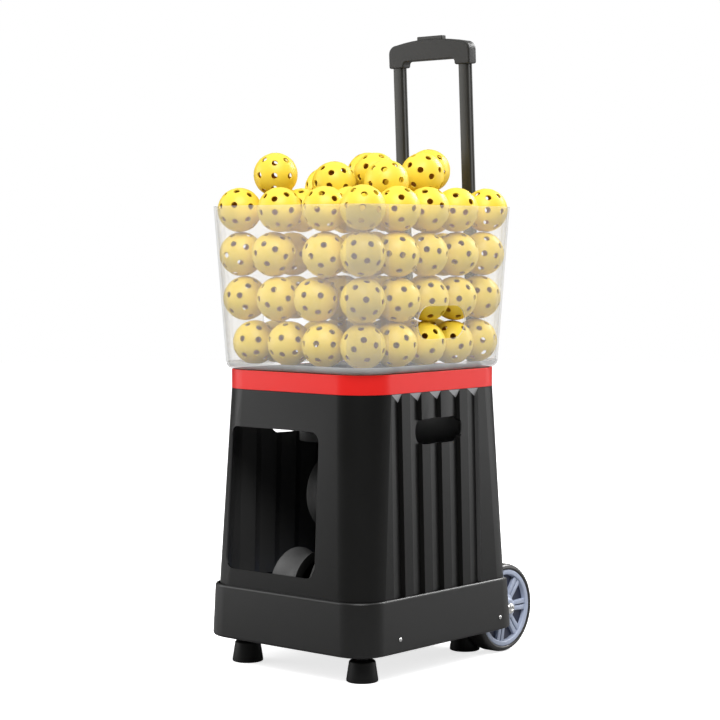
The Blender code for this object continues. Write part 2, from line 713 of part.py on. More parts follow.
def hopper_outline(half_x, half_y, radius):
    """A rounded rectangle with a shallow bay at the rear, where the handle's grip slides past."""
    corners = corner_arcs(half_x, half_y, radius, 6)
    bay_half = GRIP_WIDTH / 2 + HOPPER_BAY_MARGIN
    bay_y = min(half_y, HOPPER_BAY_Y)
    slope = HOPPER_BAY_SLOPE
    bay = [(bay_half + slope, half_y), (bay_half, bay_y), (-bay_half, bay_y), (-bay_half - slope, half_y)]
    return corners[0] + corners[1] + bay + corners[2] + corners[3]


def hopper_tub():
    levels = rounded_foot_levels(hopper_section, HOPPER_EDGE, HOPPER_BOTTOM, 3)
    levels.append((*hopper_section(HOPPER_TOP), HOPPER_TOP))
    rings = [(hopper_outline(x, y, radius), z) for x, y, radius, z in levels]
    item = place("hopper_tub", loft_mesh("hopper_tub", rings, close_bottom=True), clear_plastic)
    thicken(item, HOPPER_WALL)
    cut(item, feed_opening(), *hand_holes())


def feed_opening():
    """Open over the rotor, but covered where a ball drops, so that only one ball falls at a time."""
    cover = 75.0
    outline = arc_points(FEEDER_RADIUS, start=90 + cover, sweep=360 - 2 * cover, steps=24)
    mesh = flat_mesh("feed_opening", [outline], 0.03)
    return make_cutter("feed_opening", mesh, location=(0.0, 0.0, HOPPER_BOTTOM))


def hand_holes():
    holes = []
    z = HOPPER_BOTTOM + HAND_HOLE_RISE
    for side, word in ((-1, "left"), (1, "right")):
        mesh = slot_mesh("hand_hole_" + word, HAND_HOLE_LENGTH, HAND_HOLE_HEIGHT, 0.04)
        spot = (side * hopper_section(z)[0], HAND_HOLE_Y, z)
        holes.append(make_cutter("hand_hole_" + word, mesh, location=spot))
    return holes


# ---------------------------------------------------------------- transport wheels
def wheel_axle():
    length = 2 * (WHEEL_FACE_X + HUB_RISE)
    axle = rod_mesh("wheel_axle", AXLE_RADIUS, length, 20)
    place("wheel_axle", axle, steel, location=(0.0, WHEEL_Y, WHEEL_Z), rotation=ALONG_X)
    foot = CHASSIS_TOP + GAP - WHEEL_Z
    front = -AXLE_RADIUS - AXLE_BRACKET_WALL
    rear = chassis_back() - GAP - WHEEL_Y
    top = AXLE_RADIUS + AXLE_BRACKET_WALL
    outline = [(front, foot), (rear, foot), (rear, top), (front, top)]
    hole = arc_points(AXLE_RADIUS + GAP, steps=20)
    for side, word in ((-1, "left"), (1, "right")):
        mesh = flat_mesh("axle_bracket_" + word, [outline, hole], AXLE_BRACKET_WIDTH)
        spot = (side * AXLE_BRACKET_X, WHEEL_Y, WHEEL_Z)
        place("axle_bracket_" + word, mesh, zinc_plate, location=spot, rotation=SIDE_VIEW)


def transport_wheel(word, side):
    spot = (side * WHEEL_X, WHEEL_Y, WHEEL_Z)
    turn = ALONG_X if side > 0 else AGAINST_X
    half = WHEEL_WIDTH / 2
    tread = [(RIM_RADIUS, half), (WHEEL_RADIUS - 0.007, half), (WHEEL_RADIUS - 0.002, half - 0.003),
             (WHEEL_RADIUS, half - 0.009), (WHEEL_RADIUS, 0.009 - half), (WHEEL_RADIUS - 0.002, 0.003 - half),
             (WHEEL_RADIUS - 0.007, -half), (RIM_RADIUS, -half)]
    turned("tyre_" + word, tread, rubber, None, spot, turn, ring=True)
    bore = AXLE_RADIUS + GAP
    edge = RIM_RADIUS - GAP
    lip = edge - RIM_LIP
    face = half - RIM_RECESS
    back = half - RIM_BACK
    side_face = half - 0.001
    profile = [(bore, half + HUB_RISE), (HUB_RADIUS - 0.006, half + HUB_RISE), (HUB_RADIUS, face),
               (lip, face), (lip, side_face), (edge, side_face), (edge, -side_face), (lip, -side_face),
               (lip, back), (HUB_RADIUS, back), (HUB_RADIUS, -face), (bore, -face)]
    rim = turned("rim_" + word, profile, rim_plastic, None, spot, turn, ring=True)
    windows = flat_mesh("rim_windows_" + word, rim_window_outlines(lip - 0.003), 2 * RIM_WINDOW_DEPTH)
    face_spot = (side * (WHEEL_FACE_X - RIM_RECESS), WHEEL_Y, WHEEL_Z)
    cut(rim, make_cutter("rim_windows_" + word, windows, location=face_spot, rotation=turn))
    cap = [(0.0, HUB_BOLT_RISE), (0.006, HUB_BOLT_RISE - 0.0006), (HUB_BOLT_RADIUS, HUB_BOLT_RISE - 0.003),
           (HUB_BOLT_RADIUS, GAP), (0.0, GAP)]
    cap_spot = (side * (WHEEL_FACE_X + HUB_RISE), WHEEL_Y, WHEEL_Z)
    turned("hub_cap_" + word, cap, steel, None, cap_spot, turn, steps=20)


def rim_window_outlines(outer):
    """Wedge-shaped hollows between the rim's twin spokes."""
    inner = HUB_RADIUS + 0.006
    outlines = []
    for index in range(RIM_WINDOWS):
        middle = 360 * index / RIM_WINDOWS
        far = arc_points(outer, start=middle - 16, sweep=32, steps=4)
        near = arc_points(inner, start=middle - 12, sweep=24, steps=2)
        outlines.append(far + list(reversed(near)))
    return outlines


# ---------------------------------------------------------------- handle
def rect_tube(name, size, wall, bottom, top, parent, x):
    half_x, half_y = size[0] / 2, size[1] / 2
    outline = plain_ring(half_x, half_y, size[1] / 5, 3)
    mesh = loft_mesh(name, [(outline, bottom), (outline, top)])
    thicken(place(name, mesh, handle_metal, parent, (x, TUBE_Y, 0.0)), wall)


def handle():
    tube_top = HANDLE_REACH + TUBE_SOCKET - GAP
    tube_bottom = SLEEVE_TOP - TUBE_OVERLAP
    sleeve = (SLEEVE_WIDTH, SLEEVE_DEPTH)
    tube = (TUBE_WIDTH, TUBE_DEPTH)
    for side, word in ((-1, "left"), (1, "right")):
        x = side * HANDLE_HALF_SPAN
        rect_tube("handle_sleeve_" + word, sleeve, SLEEVE_WALL, SLEEVE_BOTTOM, SLEEVE_TOP, rear_face, x)
        rect_tube("handle_tube_" + word, tube, TUBE_WALL, tube_bottom, tube_top, rear_face, x)


def handle_brackets():
    half_x = HANDLE_HALF_SPAN + SLEEVE_WIDTH / 2 + BRACKET_MARGIN
    back = TUBE_Y + SLEEVE_DEPTH / 2 + BRACKET_MARGIN / 2
    outline = [(-half_x, GAP), (half_x, GAP), (half_x, back), (-half_x, back)]
    holes = []
    for side in (-1, 1):
        ring = plain_ring(SLEEVE_WIDTH / 2 + GAP, SLEEVE_DEPTH / 2 + GAP, SLEEVE_DEPTH / 5, 3)
        holes.append([(x + side * HANDLE_HALF_SPAN, y + TUBE_Y) for x, y in ring])
    for word, drop in (("upper", UPPER_BRACKET_DROP), ("lower", LOWER_BRACKET_DROP)):
        mesh = flat_mesh("handle_bracket_" + word, [outline, *holes], BRACKET_HEIGHT)
        place("handle_bracket_" + word, mesh, black_plastic, rear_face, (0.0, 0.0, -drop))


def grip_outline():
    half = GRIP_WIDTH / 2
    inner = half - GRIP_LEG_WIDTH
    fillet = 0.006
    right = [(half, 0.0)]
    right += arc_points(GRIP_RADIUS, (half - GRIP_RADIUS, GRIP_END_HEIGHT - GRIP_RADIUS), 0, 80, 5)
    span = half - GRIP_RADIUS
    crown = (span ** 2 + GRIP_CROWN ** 2) / (2 * GRIP_CROWN)
    centre_y = GRIP_END_HEIGHT + GRIP_CROWN - crown
    reach = math.degrees(math.asin(span / crown))
    top = arc_points(crown, (0.0, centre_y), 90 - reach, 2 * reach, 8)
    left = [(-x, y) for x, y in reversed(right)]
    under_left = [(-inner, 0.0)] + arc_points(fillet, (fillet - inner, GRIP_LEG_DROP - fillet), 180, -90, 3)
    under_right = [(-x, y) for x, y in reversed(under_left)]
    return right + top + left + under_left + under_right


def handle_grip():
    mesh = flat_mesh("handle_grip", [grip_outline()], GRIP_DEPTH)
    grip = place("handle_grip", mesh, black_plastic, rear_face, (0.0, TUBE_Y, HANDLE_REACH), REAR_VIEW)
    soften(grip, 0.003)
    crest = HANDLE_REACH + GRIP_END_HEIGHT + GRIP_CROWN
    room = 2 * BUTTON_CLEARANCE
    slot = block_mesh("button_slot", (BUTTON_LENGTH + room, BUTTON_DEPTH + room, 2 * BUTTON_POCKET))
    tools = [make_cutter("button_slot", slot, rear_face, (0.0, TUBE_Y, crest))]
    for side, word in ((-1, "left"), (1, "right")):
        size = (TUBE_WIDTH + 2 * GAP, TUBE_DEPTH + 2 * GAP, 2 * TUBE_SOCKET)
        socket = block_mesh("tube_socket_" + word, size)
        tools.append(make_cutter("tube_socket_" + word, socket, rear_face,
                                 (side * HANDLE_HALF_SPAN, TUBE_Y, HANDLE_REACH)))
    cut(grip, *tools)
    height = BUTTON_POCKET + BUTTON_RISE - BUTTON_TRAVEL - 2 * BUTTON_CLEARANCE
    button = block_mesh("release_button", (BUTTON_LENGTH, BUTTON_DEPTH, height), 0.0015, "XYZ")
    spot = (0.0, TUBE_Y, crest + BUTTON_RISE - height / 2)
    place("release_button", button, handle_metal, rear_face, spot)


# ---------------------------------------------------------------- ball feeder
def feeder():
    bore = BORE_RADIUS
    inner = PAN_RADIUS - PAN_WALL
    pan_profile = [(PAN_RADIUS, PAN_TOP), (PAN_RADIUS, PAN_BOTTOM), (bore, PAN_BOTTOM), (bore, PAN_FLOOR),
                   (inner, PAN_FLOOR), (inner, PAN_TOP)]
    pan = turned("feeder_pan", pan_profile, black_plastic, ring=True, steps=36)
    drop = rod_mesh("drop_hole", POCKET_RADIUS, 0.02, 24)
    cut(pan, make_cutter("drop_hole", drop, location=(HEAD_X, SWEEP_Y, PAN_BOTTOM)))
    height = FEEDER_HEIGHT
    shaft = FEEDER_SHAFT_REACH
    crown = height + ROTOR_CAP_RISE
    rotor_profile = [(0.0, crown), (ROTOR_CAP_RADIUS / 2, crown - 0.003), (ROTOR_CAP_RADIUS, height),
                     (FEEDER_RADIUS, height), (FEEDER_RADIUS, 0.0), (bore, 0.0), (bore, shaft), (0.0, shaft)]
    spot = (0.0, 0.0, ROTOR_BOTTOM)
    rotor = turned("feeder_rotor", rotor_profile, white_plastic, location=spot, steps=36)
    cut(rotor, rotor_pockets())
    seat = SWIVEL_TOP
    neck = seat - FEEDER_BOSS_LENGTH
    motor_profile = [(0.0, ROTOR_BOTTOM + shaft - GAP), (SHAFT_RADIUS, ROTOR_BOTTOM + shaft - GAP),
                     (SHAFT_RADIUS, seat), (FEEDER_BOSS_RADIUS, seat), (FEEDER_BOSS_RADIUS, neck),
                     (FEEDER_MOTOR_RADIUS, neck), (FEEDER_MOTOR_RADIUS, neck - FEEDER_MOTOR_LENGTH),
                     (0.0, neck - FEEDER_MOTOR_LENGTH)]
    turned("feeder_motor", motor_profile, motor_metal, steps=24)


def rotor_pockets():
    start = math.degrees(math.atan2(SWEEP_Y, HEAD_X))
    spots = arc_points(POCKET_CIRCLE, start=start, steps=FEEDER_POCKETS)
    outlines = [arc_points(POCKET_RADIUS, spot, steps=20) for spot in spots]
    mesh = flat_mesh("rotor_pockets", outlines, 2 * FEEDER_HEIGHT)
    return make_cutter("rotor_pockets", mesh, location=(0.0, 0.0, ROTOR_BOTTOM + FEEDER_HEIGHT / 2))


# ---------------------------------------------------------------- sweep: swivel, chute and yoke
def swivel():
    bottom = SWIVEL_TOP - SWIVEL_HEIGHT
    ring = ring_profile(SWIVEL_INNER, SWIVEL_OUTER, bottom, SWIVEL_TOP)
    turned("swivel_ring", ring, white_plastic, sweep_axis, ring=True)
    lip = bottom - GAP
    under = lip - RETAINER_FLOOR
    profile = [(RETAINER_OUTER, SWIVEL_TOP), (RETAINER_OUTER, under), (RETAINER_INNER, under),
               (RETAINER_INNER, lip), (RACE_RADIUS, lip), (RACE_RADIUS, SWIVEL_TOP)]
    turned("swivel_retainer", profile, black_plastic, sweep_axis, ring=True)
    chute = ring_profile(POCKET_RADIUS, CHUTE_RADIUS, CHUTE_BOTTOM, SWIVEL_TOP)
    turned("drop_chute", chute, black_plastic, sweep_axis, ring=True)


def sweep_drive():
    top = PAN_BOTTOM - GAP
    body = top - SWEEP_MOTOR_LENGTH
    wheel_top = SWIVEL_TOP - DRIVE_WHEEL_DROP
    shaft = wheel_top - DRIVE_WHEEL_HEIGHT
    profile = [(0.0, top), (SWEEP_MOTOR_RADIUS, top), (SWEEP_MOTOR_RADIUS, body), (SHAFT_RADIUS, body),
               (SHAFT_RADIUS, shaft), (0.0, shaft)]
    spot = (SWEEP_MOTOR_X, SWEEP_MOTOR_Y, 0.0)
    turned("sweep_motor", profile, motor_metal, location=spot, steps=24)
    wheel = ring_profile(BORE_RADIUS, DRIVE_WHEEL_RADIUS, shaft, wheel_top)
    turned("sweep_drive_wheel", wheel, throw_rubber, location=spot, ring=True, steps=32)


def sweep_yoke():
    """An L-shaped plate: down from the swivel ring beside the chute, then forward to the pivot."""
    top = SWIVEL_TOP - SWIVEL_HEIGHT - GAP - HEAD_Z
    back = SWEEP_Y - HEAD_Y
    half = YOKE_ARM / 2
    nose = arc_points(half, (0.0, 0.0), 90, 180, 10)
    outline = nose + [(back + YOKE_LEG / 2, -half), (back + YOKE_LEG / 2, top), (back - YOKE_LEG / 2, top),
                      (back - YOKE_LEG / 2, half)]
    hole = arc_points(PIVOT_RADIUS + GAP, steps=20)
    mesh = flat_mesh("sweep_yoke", [outline, hole], PLATE_THICKNESS)
    middle = HEAD_X + (YOKE_INNER + YOKE_OUTER) / 2
    place("sweep_yoke", mesh, zinc_plate, None, (middle, HEAD_Y, HEAD_Z), SIDE_VIEW)


def elevation_drive():
    seat = YOKE_OUTER + GAP
    tip = PLATE_OUTER + 2 * GAP
    profile = [(0.0, seat - tip), (SHAFT_RADIUS, seat - tip), (SHAFT_RADIUS, 0.0),
               (PIVOT_MOTOR_RADIUS, 0.0), (PIVOT_MOTOR_RADIUS, -PIVOT_MOTOR_LENGTH),
               (0.0, -PIVOT_MOTOR_LENGTH)]
    turned("elevation_motor", profile, motor_metal, None, (HEAD_X + seat, HEAD_Y, HEAD_Z), AGAINST_X)
    sleeve = ring_profile(BORE_RADIUS, PIVOT_RADIUS, PLATE_OUTER + GAP, YOKE_OUTER)
    turned("pivot_bush", sleeve, steel, launch_axis, rotation=ALONG_X, ring=True, steps=20)


# ---------------------------------------------------------------- launch head
def head_plate():
    half = THROW_SPREAD / 2
    low = arc_points(PLATE_RADIUS, (0.0, -half), 180, 180, 12)
    high = arc_points(PLATE_RADIUS, (0.0, half), 0, 180, 12)
    tail = [(PLATE_RADIUS, PLATE_TAIL_BOTTOM), (GUIDE_END, PLATE_TAIL_BOTTOM), (GUIDE_END, PLATE_TAIL_TOP),
            (PLATE_RADIUS, PLATE_TAIL_TOP)]
    outlines = [low + tail + high]
    for height in (-half, half):
        outlines.append(arc_points(BORE_RADIUS + 0.001, (0.0, height), steps=16))
    mesh = flat_mesh("head_plate", outlines, PLATE_THICKNESS)
    middle = (PLATE_INNER + PLATE_OUTER) / 2
    place("head_plate", mesh, zinc_plate, launch_axis, (middle, 0.0, 0.0), SIDE_VIEW)


def throw_wheel(word, height):
    spot = (0.0, 0.0, height)
    half = THROW_WIDTH / 2
    ball = BALL_DIAMETER / 2
    tread = []
    for step in range(7):
        z = half - THROW_WIDTH * step / 6
        sag = math.sqrt(ball ** 2 - z ** 2) - math.sqrt(ball ** 2 - half ** 2)
        tread.append((THROW_RADIUS - sag, z))
    inner = THROW_HUB_RADIUS + GAP
    profile = tread + [(inner, -half), (inner, half)]
    turned("throw_tyre_" + word, profile, throw_rubber, launch_axis, spot, ALONG_X, ring=True)
    top = THROW_HUB_WIDTH / 2
    end = 0.004 - top
    hub = [(0.0, end), (BORE_RADIUS, end), (BORE_RADIUS, top), (0.012, top), (0.016, 0.004),
           (THROW_HUB_RADIUS - 0.008, 0.004), (THROW_HUB_RADIUS - 0.005, top), (THROW_HUB_RADIUS, top),
           (THROW_HUB_RADIUS, -top), (0.0, -top)]
    turned("throw_hub_" + word, hub, motor_metal, launch_axis, spot, ALONG_X)
    seat = PLATE_OUTER + GAP
    reach = seat - end - GAP
    motor = [(0.0, reach), (SHAFT_RADIUS, reach), (SHAFT_RADIUS, 0.0), (THROW_MOTOR_RADIUS, 0.0),
             (THROW_MOTOR_RADIUS, -THROW_MOTOR_LENGTH), (0.0, -THROW_MOTOR_LENGTH)]
    turned("throw_motor_" + word, motor, motor_metal, launch_axis, (seat, 0.0, height), AGAINST_X)


def ball_guide():
    """A half-round trough, closed behind, that leads a dropped ball into the wheels."""
    length = GUIDE_END - GUIDE_START
    middle = (GUIDE_START + GUIDE_END) / 2
    spot = (0.0, middle, 0.0)
    trough = rod_mesh("ball_guide", CHUTE_RADIUS, length, 28)
    guide = place("ball_guide", trough, black_plastic, launch_axis, spot, ALONG_Y)
    mesh = rod_mesh("guide_hollow", POCKET_RADIUS, length, 28)
    hollow = make_cutter("guide_hollow", mesh, launch_axis, (0.0, middle - CHUTE_WALL, 0.0), ALONG_Y)
    lid = block_mesh("guide_lid", (0.12, length + 0.02, 0.06))
    cut(guide, hollow, make_cutter("guide_lid", lid, launch_axis, (0.0, middle, 0.03)))


# ---------------------------------------------------------------- power and controls
def electrics():
    floor = CHASSIS_TOP + GAP
    battery = block_mesh("battery", BATTERY_SIZE, 0.004)
    place("battery", battery, battery_plastic, None, (*BATTERY_SPOT, floor + BATTERY_SIZE[2] / 2))
    box = block_mesh("controller_box", CONTROLLER_SIZE, 0.003)
    place("controller_box", box, black_plastic, None, (*CONTROLLER_SPOT, floor + CONTROLLER_SIZE[2] / 2))


def control_panel():
    outline = plain_ring(PANEL_WIDTH / 2, PANEL_HEIGHT / 2, 0.008, 4)
    rocker_z = 0.022
    socket_z = -0.026
    width = ROCKER_WIDTH / 2 + ROCKER_CLEARANCE
    height = ROCKER_HEIGHT / 2 + ROCKER_CLEARANCE
    window = [(-width, rocker_z - height), (width, rocker_z - height), (width, rocker_z + height),
              (-width, rocker_z + height)]
    hole = arc_points(SOCKET_RADIUS + GAP, (0.0, socket_z), steps=20)
    mesh = flat_mesh("control_panel", [outline, window, hole], PANEL_DEPTH)
    face = PANEL_DEPTH + GAP
    middle = (0.0, face - PANEL_DEPTH / 2, -PANEL_DROP)
    place("control_panel", mesh, black_plastic, rear_face, middle, REAR_VIEW)
    depth = 0.007
    rocker = block_mesh("power_switch", (ROCKER_WIDTH, depth, ROCKER_HEIGHT), 0.001)
    place("power_switch", rocker, red_plastic, rear_face, (0.0, face - depth / 2, rocker_z - PANEL_DROP))
    profile = [(0.0, -0.006), (0.0055, -0.006), (0.0055, 0.0018), (0.0105, 0.0015), (0.0105, GAP),
               (SOCKET_RADIUS, GAP), (SOCKET_RADIUS, GAP - PANEL_DEPTH), (0.0, GAP - PANEL_DEPTH)]
    spot = (0.0, face, socket_z - PANEL_DROP)
    turned("charge_socket", profile, black_plastic, rear_face, spot, ALONG_Y, steps=20)


def build():
    tyre_wells = wheel_wells("tyre_well_", WHEEL_FACE_X + WELL_SIDE_CLEARANCE)
    hub_wells = wheel_wells("hub_well_", WHEEL_FACE_X + HUB_RISE + HUB_BOLT_RISE + HUB_CLEARANCE)
    studs = stud_holes()
    screws = screw_holes()
    base_tray([*hub_wells, *studs, *screws])
    chassis_pan([*hub_wells, *studs, *screws])
    feet()
    base_screws()
    body_shell(tyre_wells)
    trim_band()
    top_deck()
    hopper_tub()
    wheel_axle()
    transport_wheel("left", -1)
    transport_wheel("right", 1)
    handle()
    handle_brackets()
    handle_grip()
    feeder()
    swivel()
    sweep_drive()
    sweep_yoke()
    elevation_drive()
    head_plate()
    throw_wheel("upper", THROW_SPREAD / 2)
    throw_wheel("lower", -THROW_SPREAD / 2)
    ball_guide()
    electrics()
    control_panel()


build()
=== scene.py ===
import json
import math
import random

import bmesh
import bpy
from mathutils import Matrix, Vector
from mathutils.bvhtree import BVHTree


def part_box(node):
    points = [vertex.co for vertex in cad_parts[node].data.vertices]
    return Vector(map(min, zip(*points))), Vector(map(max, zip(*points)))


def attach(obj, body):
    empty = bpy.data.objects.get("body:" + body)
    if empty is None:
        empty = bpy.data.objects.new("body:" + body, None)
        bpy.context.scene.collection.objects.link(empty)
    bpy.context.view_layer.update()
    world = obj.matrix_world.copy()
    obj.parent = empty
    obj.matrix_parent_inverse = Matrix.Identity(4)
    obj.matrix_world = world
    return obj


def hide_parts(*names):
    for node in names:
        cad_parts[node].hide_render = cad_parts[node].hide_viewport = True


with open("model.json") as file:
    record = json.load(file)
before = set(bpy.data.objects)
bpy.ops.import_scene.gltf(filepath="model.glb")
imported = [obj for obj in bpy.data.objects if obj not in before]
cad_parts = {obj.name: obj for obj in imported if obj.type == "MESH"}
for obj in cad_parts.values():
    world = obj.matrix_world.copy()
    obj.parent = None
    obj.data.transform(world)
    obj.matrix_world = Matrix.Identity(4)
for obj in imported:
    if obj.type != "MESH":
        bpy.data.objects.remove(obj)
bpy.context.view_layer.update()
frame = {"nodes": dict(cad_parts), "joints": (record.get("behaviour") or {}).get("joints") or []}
cadNodes = frame["nodes"]
jointAxes = {joint["name"]: Vector(joint["axis"]) for joint in frame["joints"]}
print("frame loaded with", len(cadNodes), "nodes")


# shader maths: a socket that can be used in plain expressions
class Amount:
    def __init__(self, tree, socket):
        self.tree = tree
        self.socket = socket

    def combine(self, operation, other, swapped=False):
        node = self.tree.nodes.new("ShaderNodeMath")
        node.operation = operation
        terms = (other, self) if swapped else (self, other)
        for entry, term in zip(node.inputs, terms):
            if isinstance(term, Amount):
                self.tree.links.new(term.socket, entry)
            else:
                entry.default_value = term
        return Amount(self.tree, node.outputs[0])

    def __add__(self, other):
        return self.combine("ADD", other)

    def __sub__(self, other):
        return self.combine("SUBTRACT", other)

    def __rsub__(self, other):
        return self.combine("SUBTRACT", other, True)

    def __mul__(self, other):
        return self.combine("MULTIPLY", other)

    __radd__ = __add__
    __rmul__ = __mul__


# a node tree whose every new node comes from add()
class Graph:
    def __init__(self, tree):
        self.tree = tree

    def feed(self, entry, value):
        if isinstance(value, Amount):
            self.tree.links.new(value.socket, entry)
        else:
            entry.default_value = value

    def add(self, kind, settings=None, values=None, out=0):
        node = self.tree.nodes.new(kind)
        for key, value in (settings or {}).items():
            if key == "stops":
                for element, (position, colour) in zip(node.color_ramp.elements, value):
                    element.position = position
                    element.color = colour
            else:
                setattr(node, key, value)
        for key, value in (values or {}).items():
            self.feed(node.inputs[key], value)
        return Amount(self.tree, node.outputs[out])


# one material with its Principled shader
class Finish(Graph):
    def __init__(self, name):
        self.material = bpy.data.materials.new(name)
        self.material.use_nodes = True
        super().__init__(self.material.node_tree)
        self.shader = self.tree.nodes["Principled BSDF"]
        self.place = self.add("ShaderNodeTexCoord", out="Object")

    def noise(self, scale, detail=2.0, stretch=(1.0, 1.0, 1.0)):
        spot = self.place
        if stretch != (1.0, 1.0, 1.0):
            spot = self.add("ShaderNodeMapping", None, {"Vector": self.place, "Scale": stretch})
        return self.add("ShaderNodeTexNoise", None, {"Vector": spot, "Scale": scale, "Detail": detail})

    def mix(self, share, first, second):
        return self.add("ShaderNodeMix", {"data_type": "RGBA"},
                        {0: share, 6: (*first, 1.0), 7: (*second, 1.0)}, 2)

    def bump(self, height, strength, distance):
        return self.add("ShaderNodeBump", None,
                        {"Strength": strength, "Distance": distance, "Height": height})

    def wear(self, values):
        for key, value in values.items():
            self.feed(self.shader.inputs[key], value)
        return self.material


# moulded plastic or rubber: two close shades in soft clouds, over a fine grain
def moulded(name, look):
    finish = Finish(name)
    cloud = finish.noise(look["cloud"], 3.0)
    grain = finish.noise(look["grain"], 2.0)
    return finish.wear({
        "Base Color": finish.mix(cloud, look["dark"], look["light"]),
        "Roughness": look["rough"] + (cloud - 0.5) * look["roughSpread"] + (grain - 0.5) * 0.08,
        "Normal": finish.bump(grain, look["relief"], look["depth"]),
        "Specular IOR Level": look.get("shine", 0.5),
        "Coat Weight": look.get("coat", 0.0),
        "Coat Roughness": look.get("coatRough", 0.1),
    })


# turned, brushed or plated metal: fine streaks drawn along one axis
def metal(name, look):
    finish = Finish(name)
    streak = finish.noise(look["streaks"], 3.0, look["stretch"])
    cloud = finish.noise(18.0, 2.0)
    return finish.wear({
        "Base Color": finish.mix(streak, look["dark"], look["light"]),
        "Metallic": look["metallic"],
        "Roughness": look["rough"] + (streak - 0.5) * look["roughSpread"] + (cloud - 0.5) * 0.08,
        "Normal": finish.bump(streak, look["relief"], 0.0002),
    })


def clearSheet(name, look):
    finish = Finish(name)
    haze = finish.noise(look["cloud"], 2.0)
    return finish.wear({
        "Base Color": finish.mix(haze, look["dark"], look["light"]),
        "Roughness": look["rough"] + (haze - 0.5) * 0.06,
        "Alpha": look["cover"] + (haze - 0.5) * look["coverSpread"],
        "Normal": finish.bump(haze, 0.08, 0.001),
    })


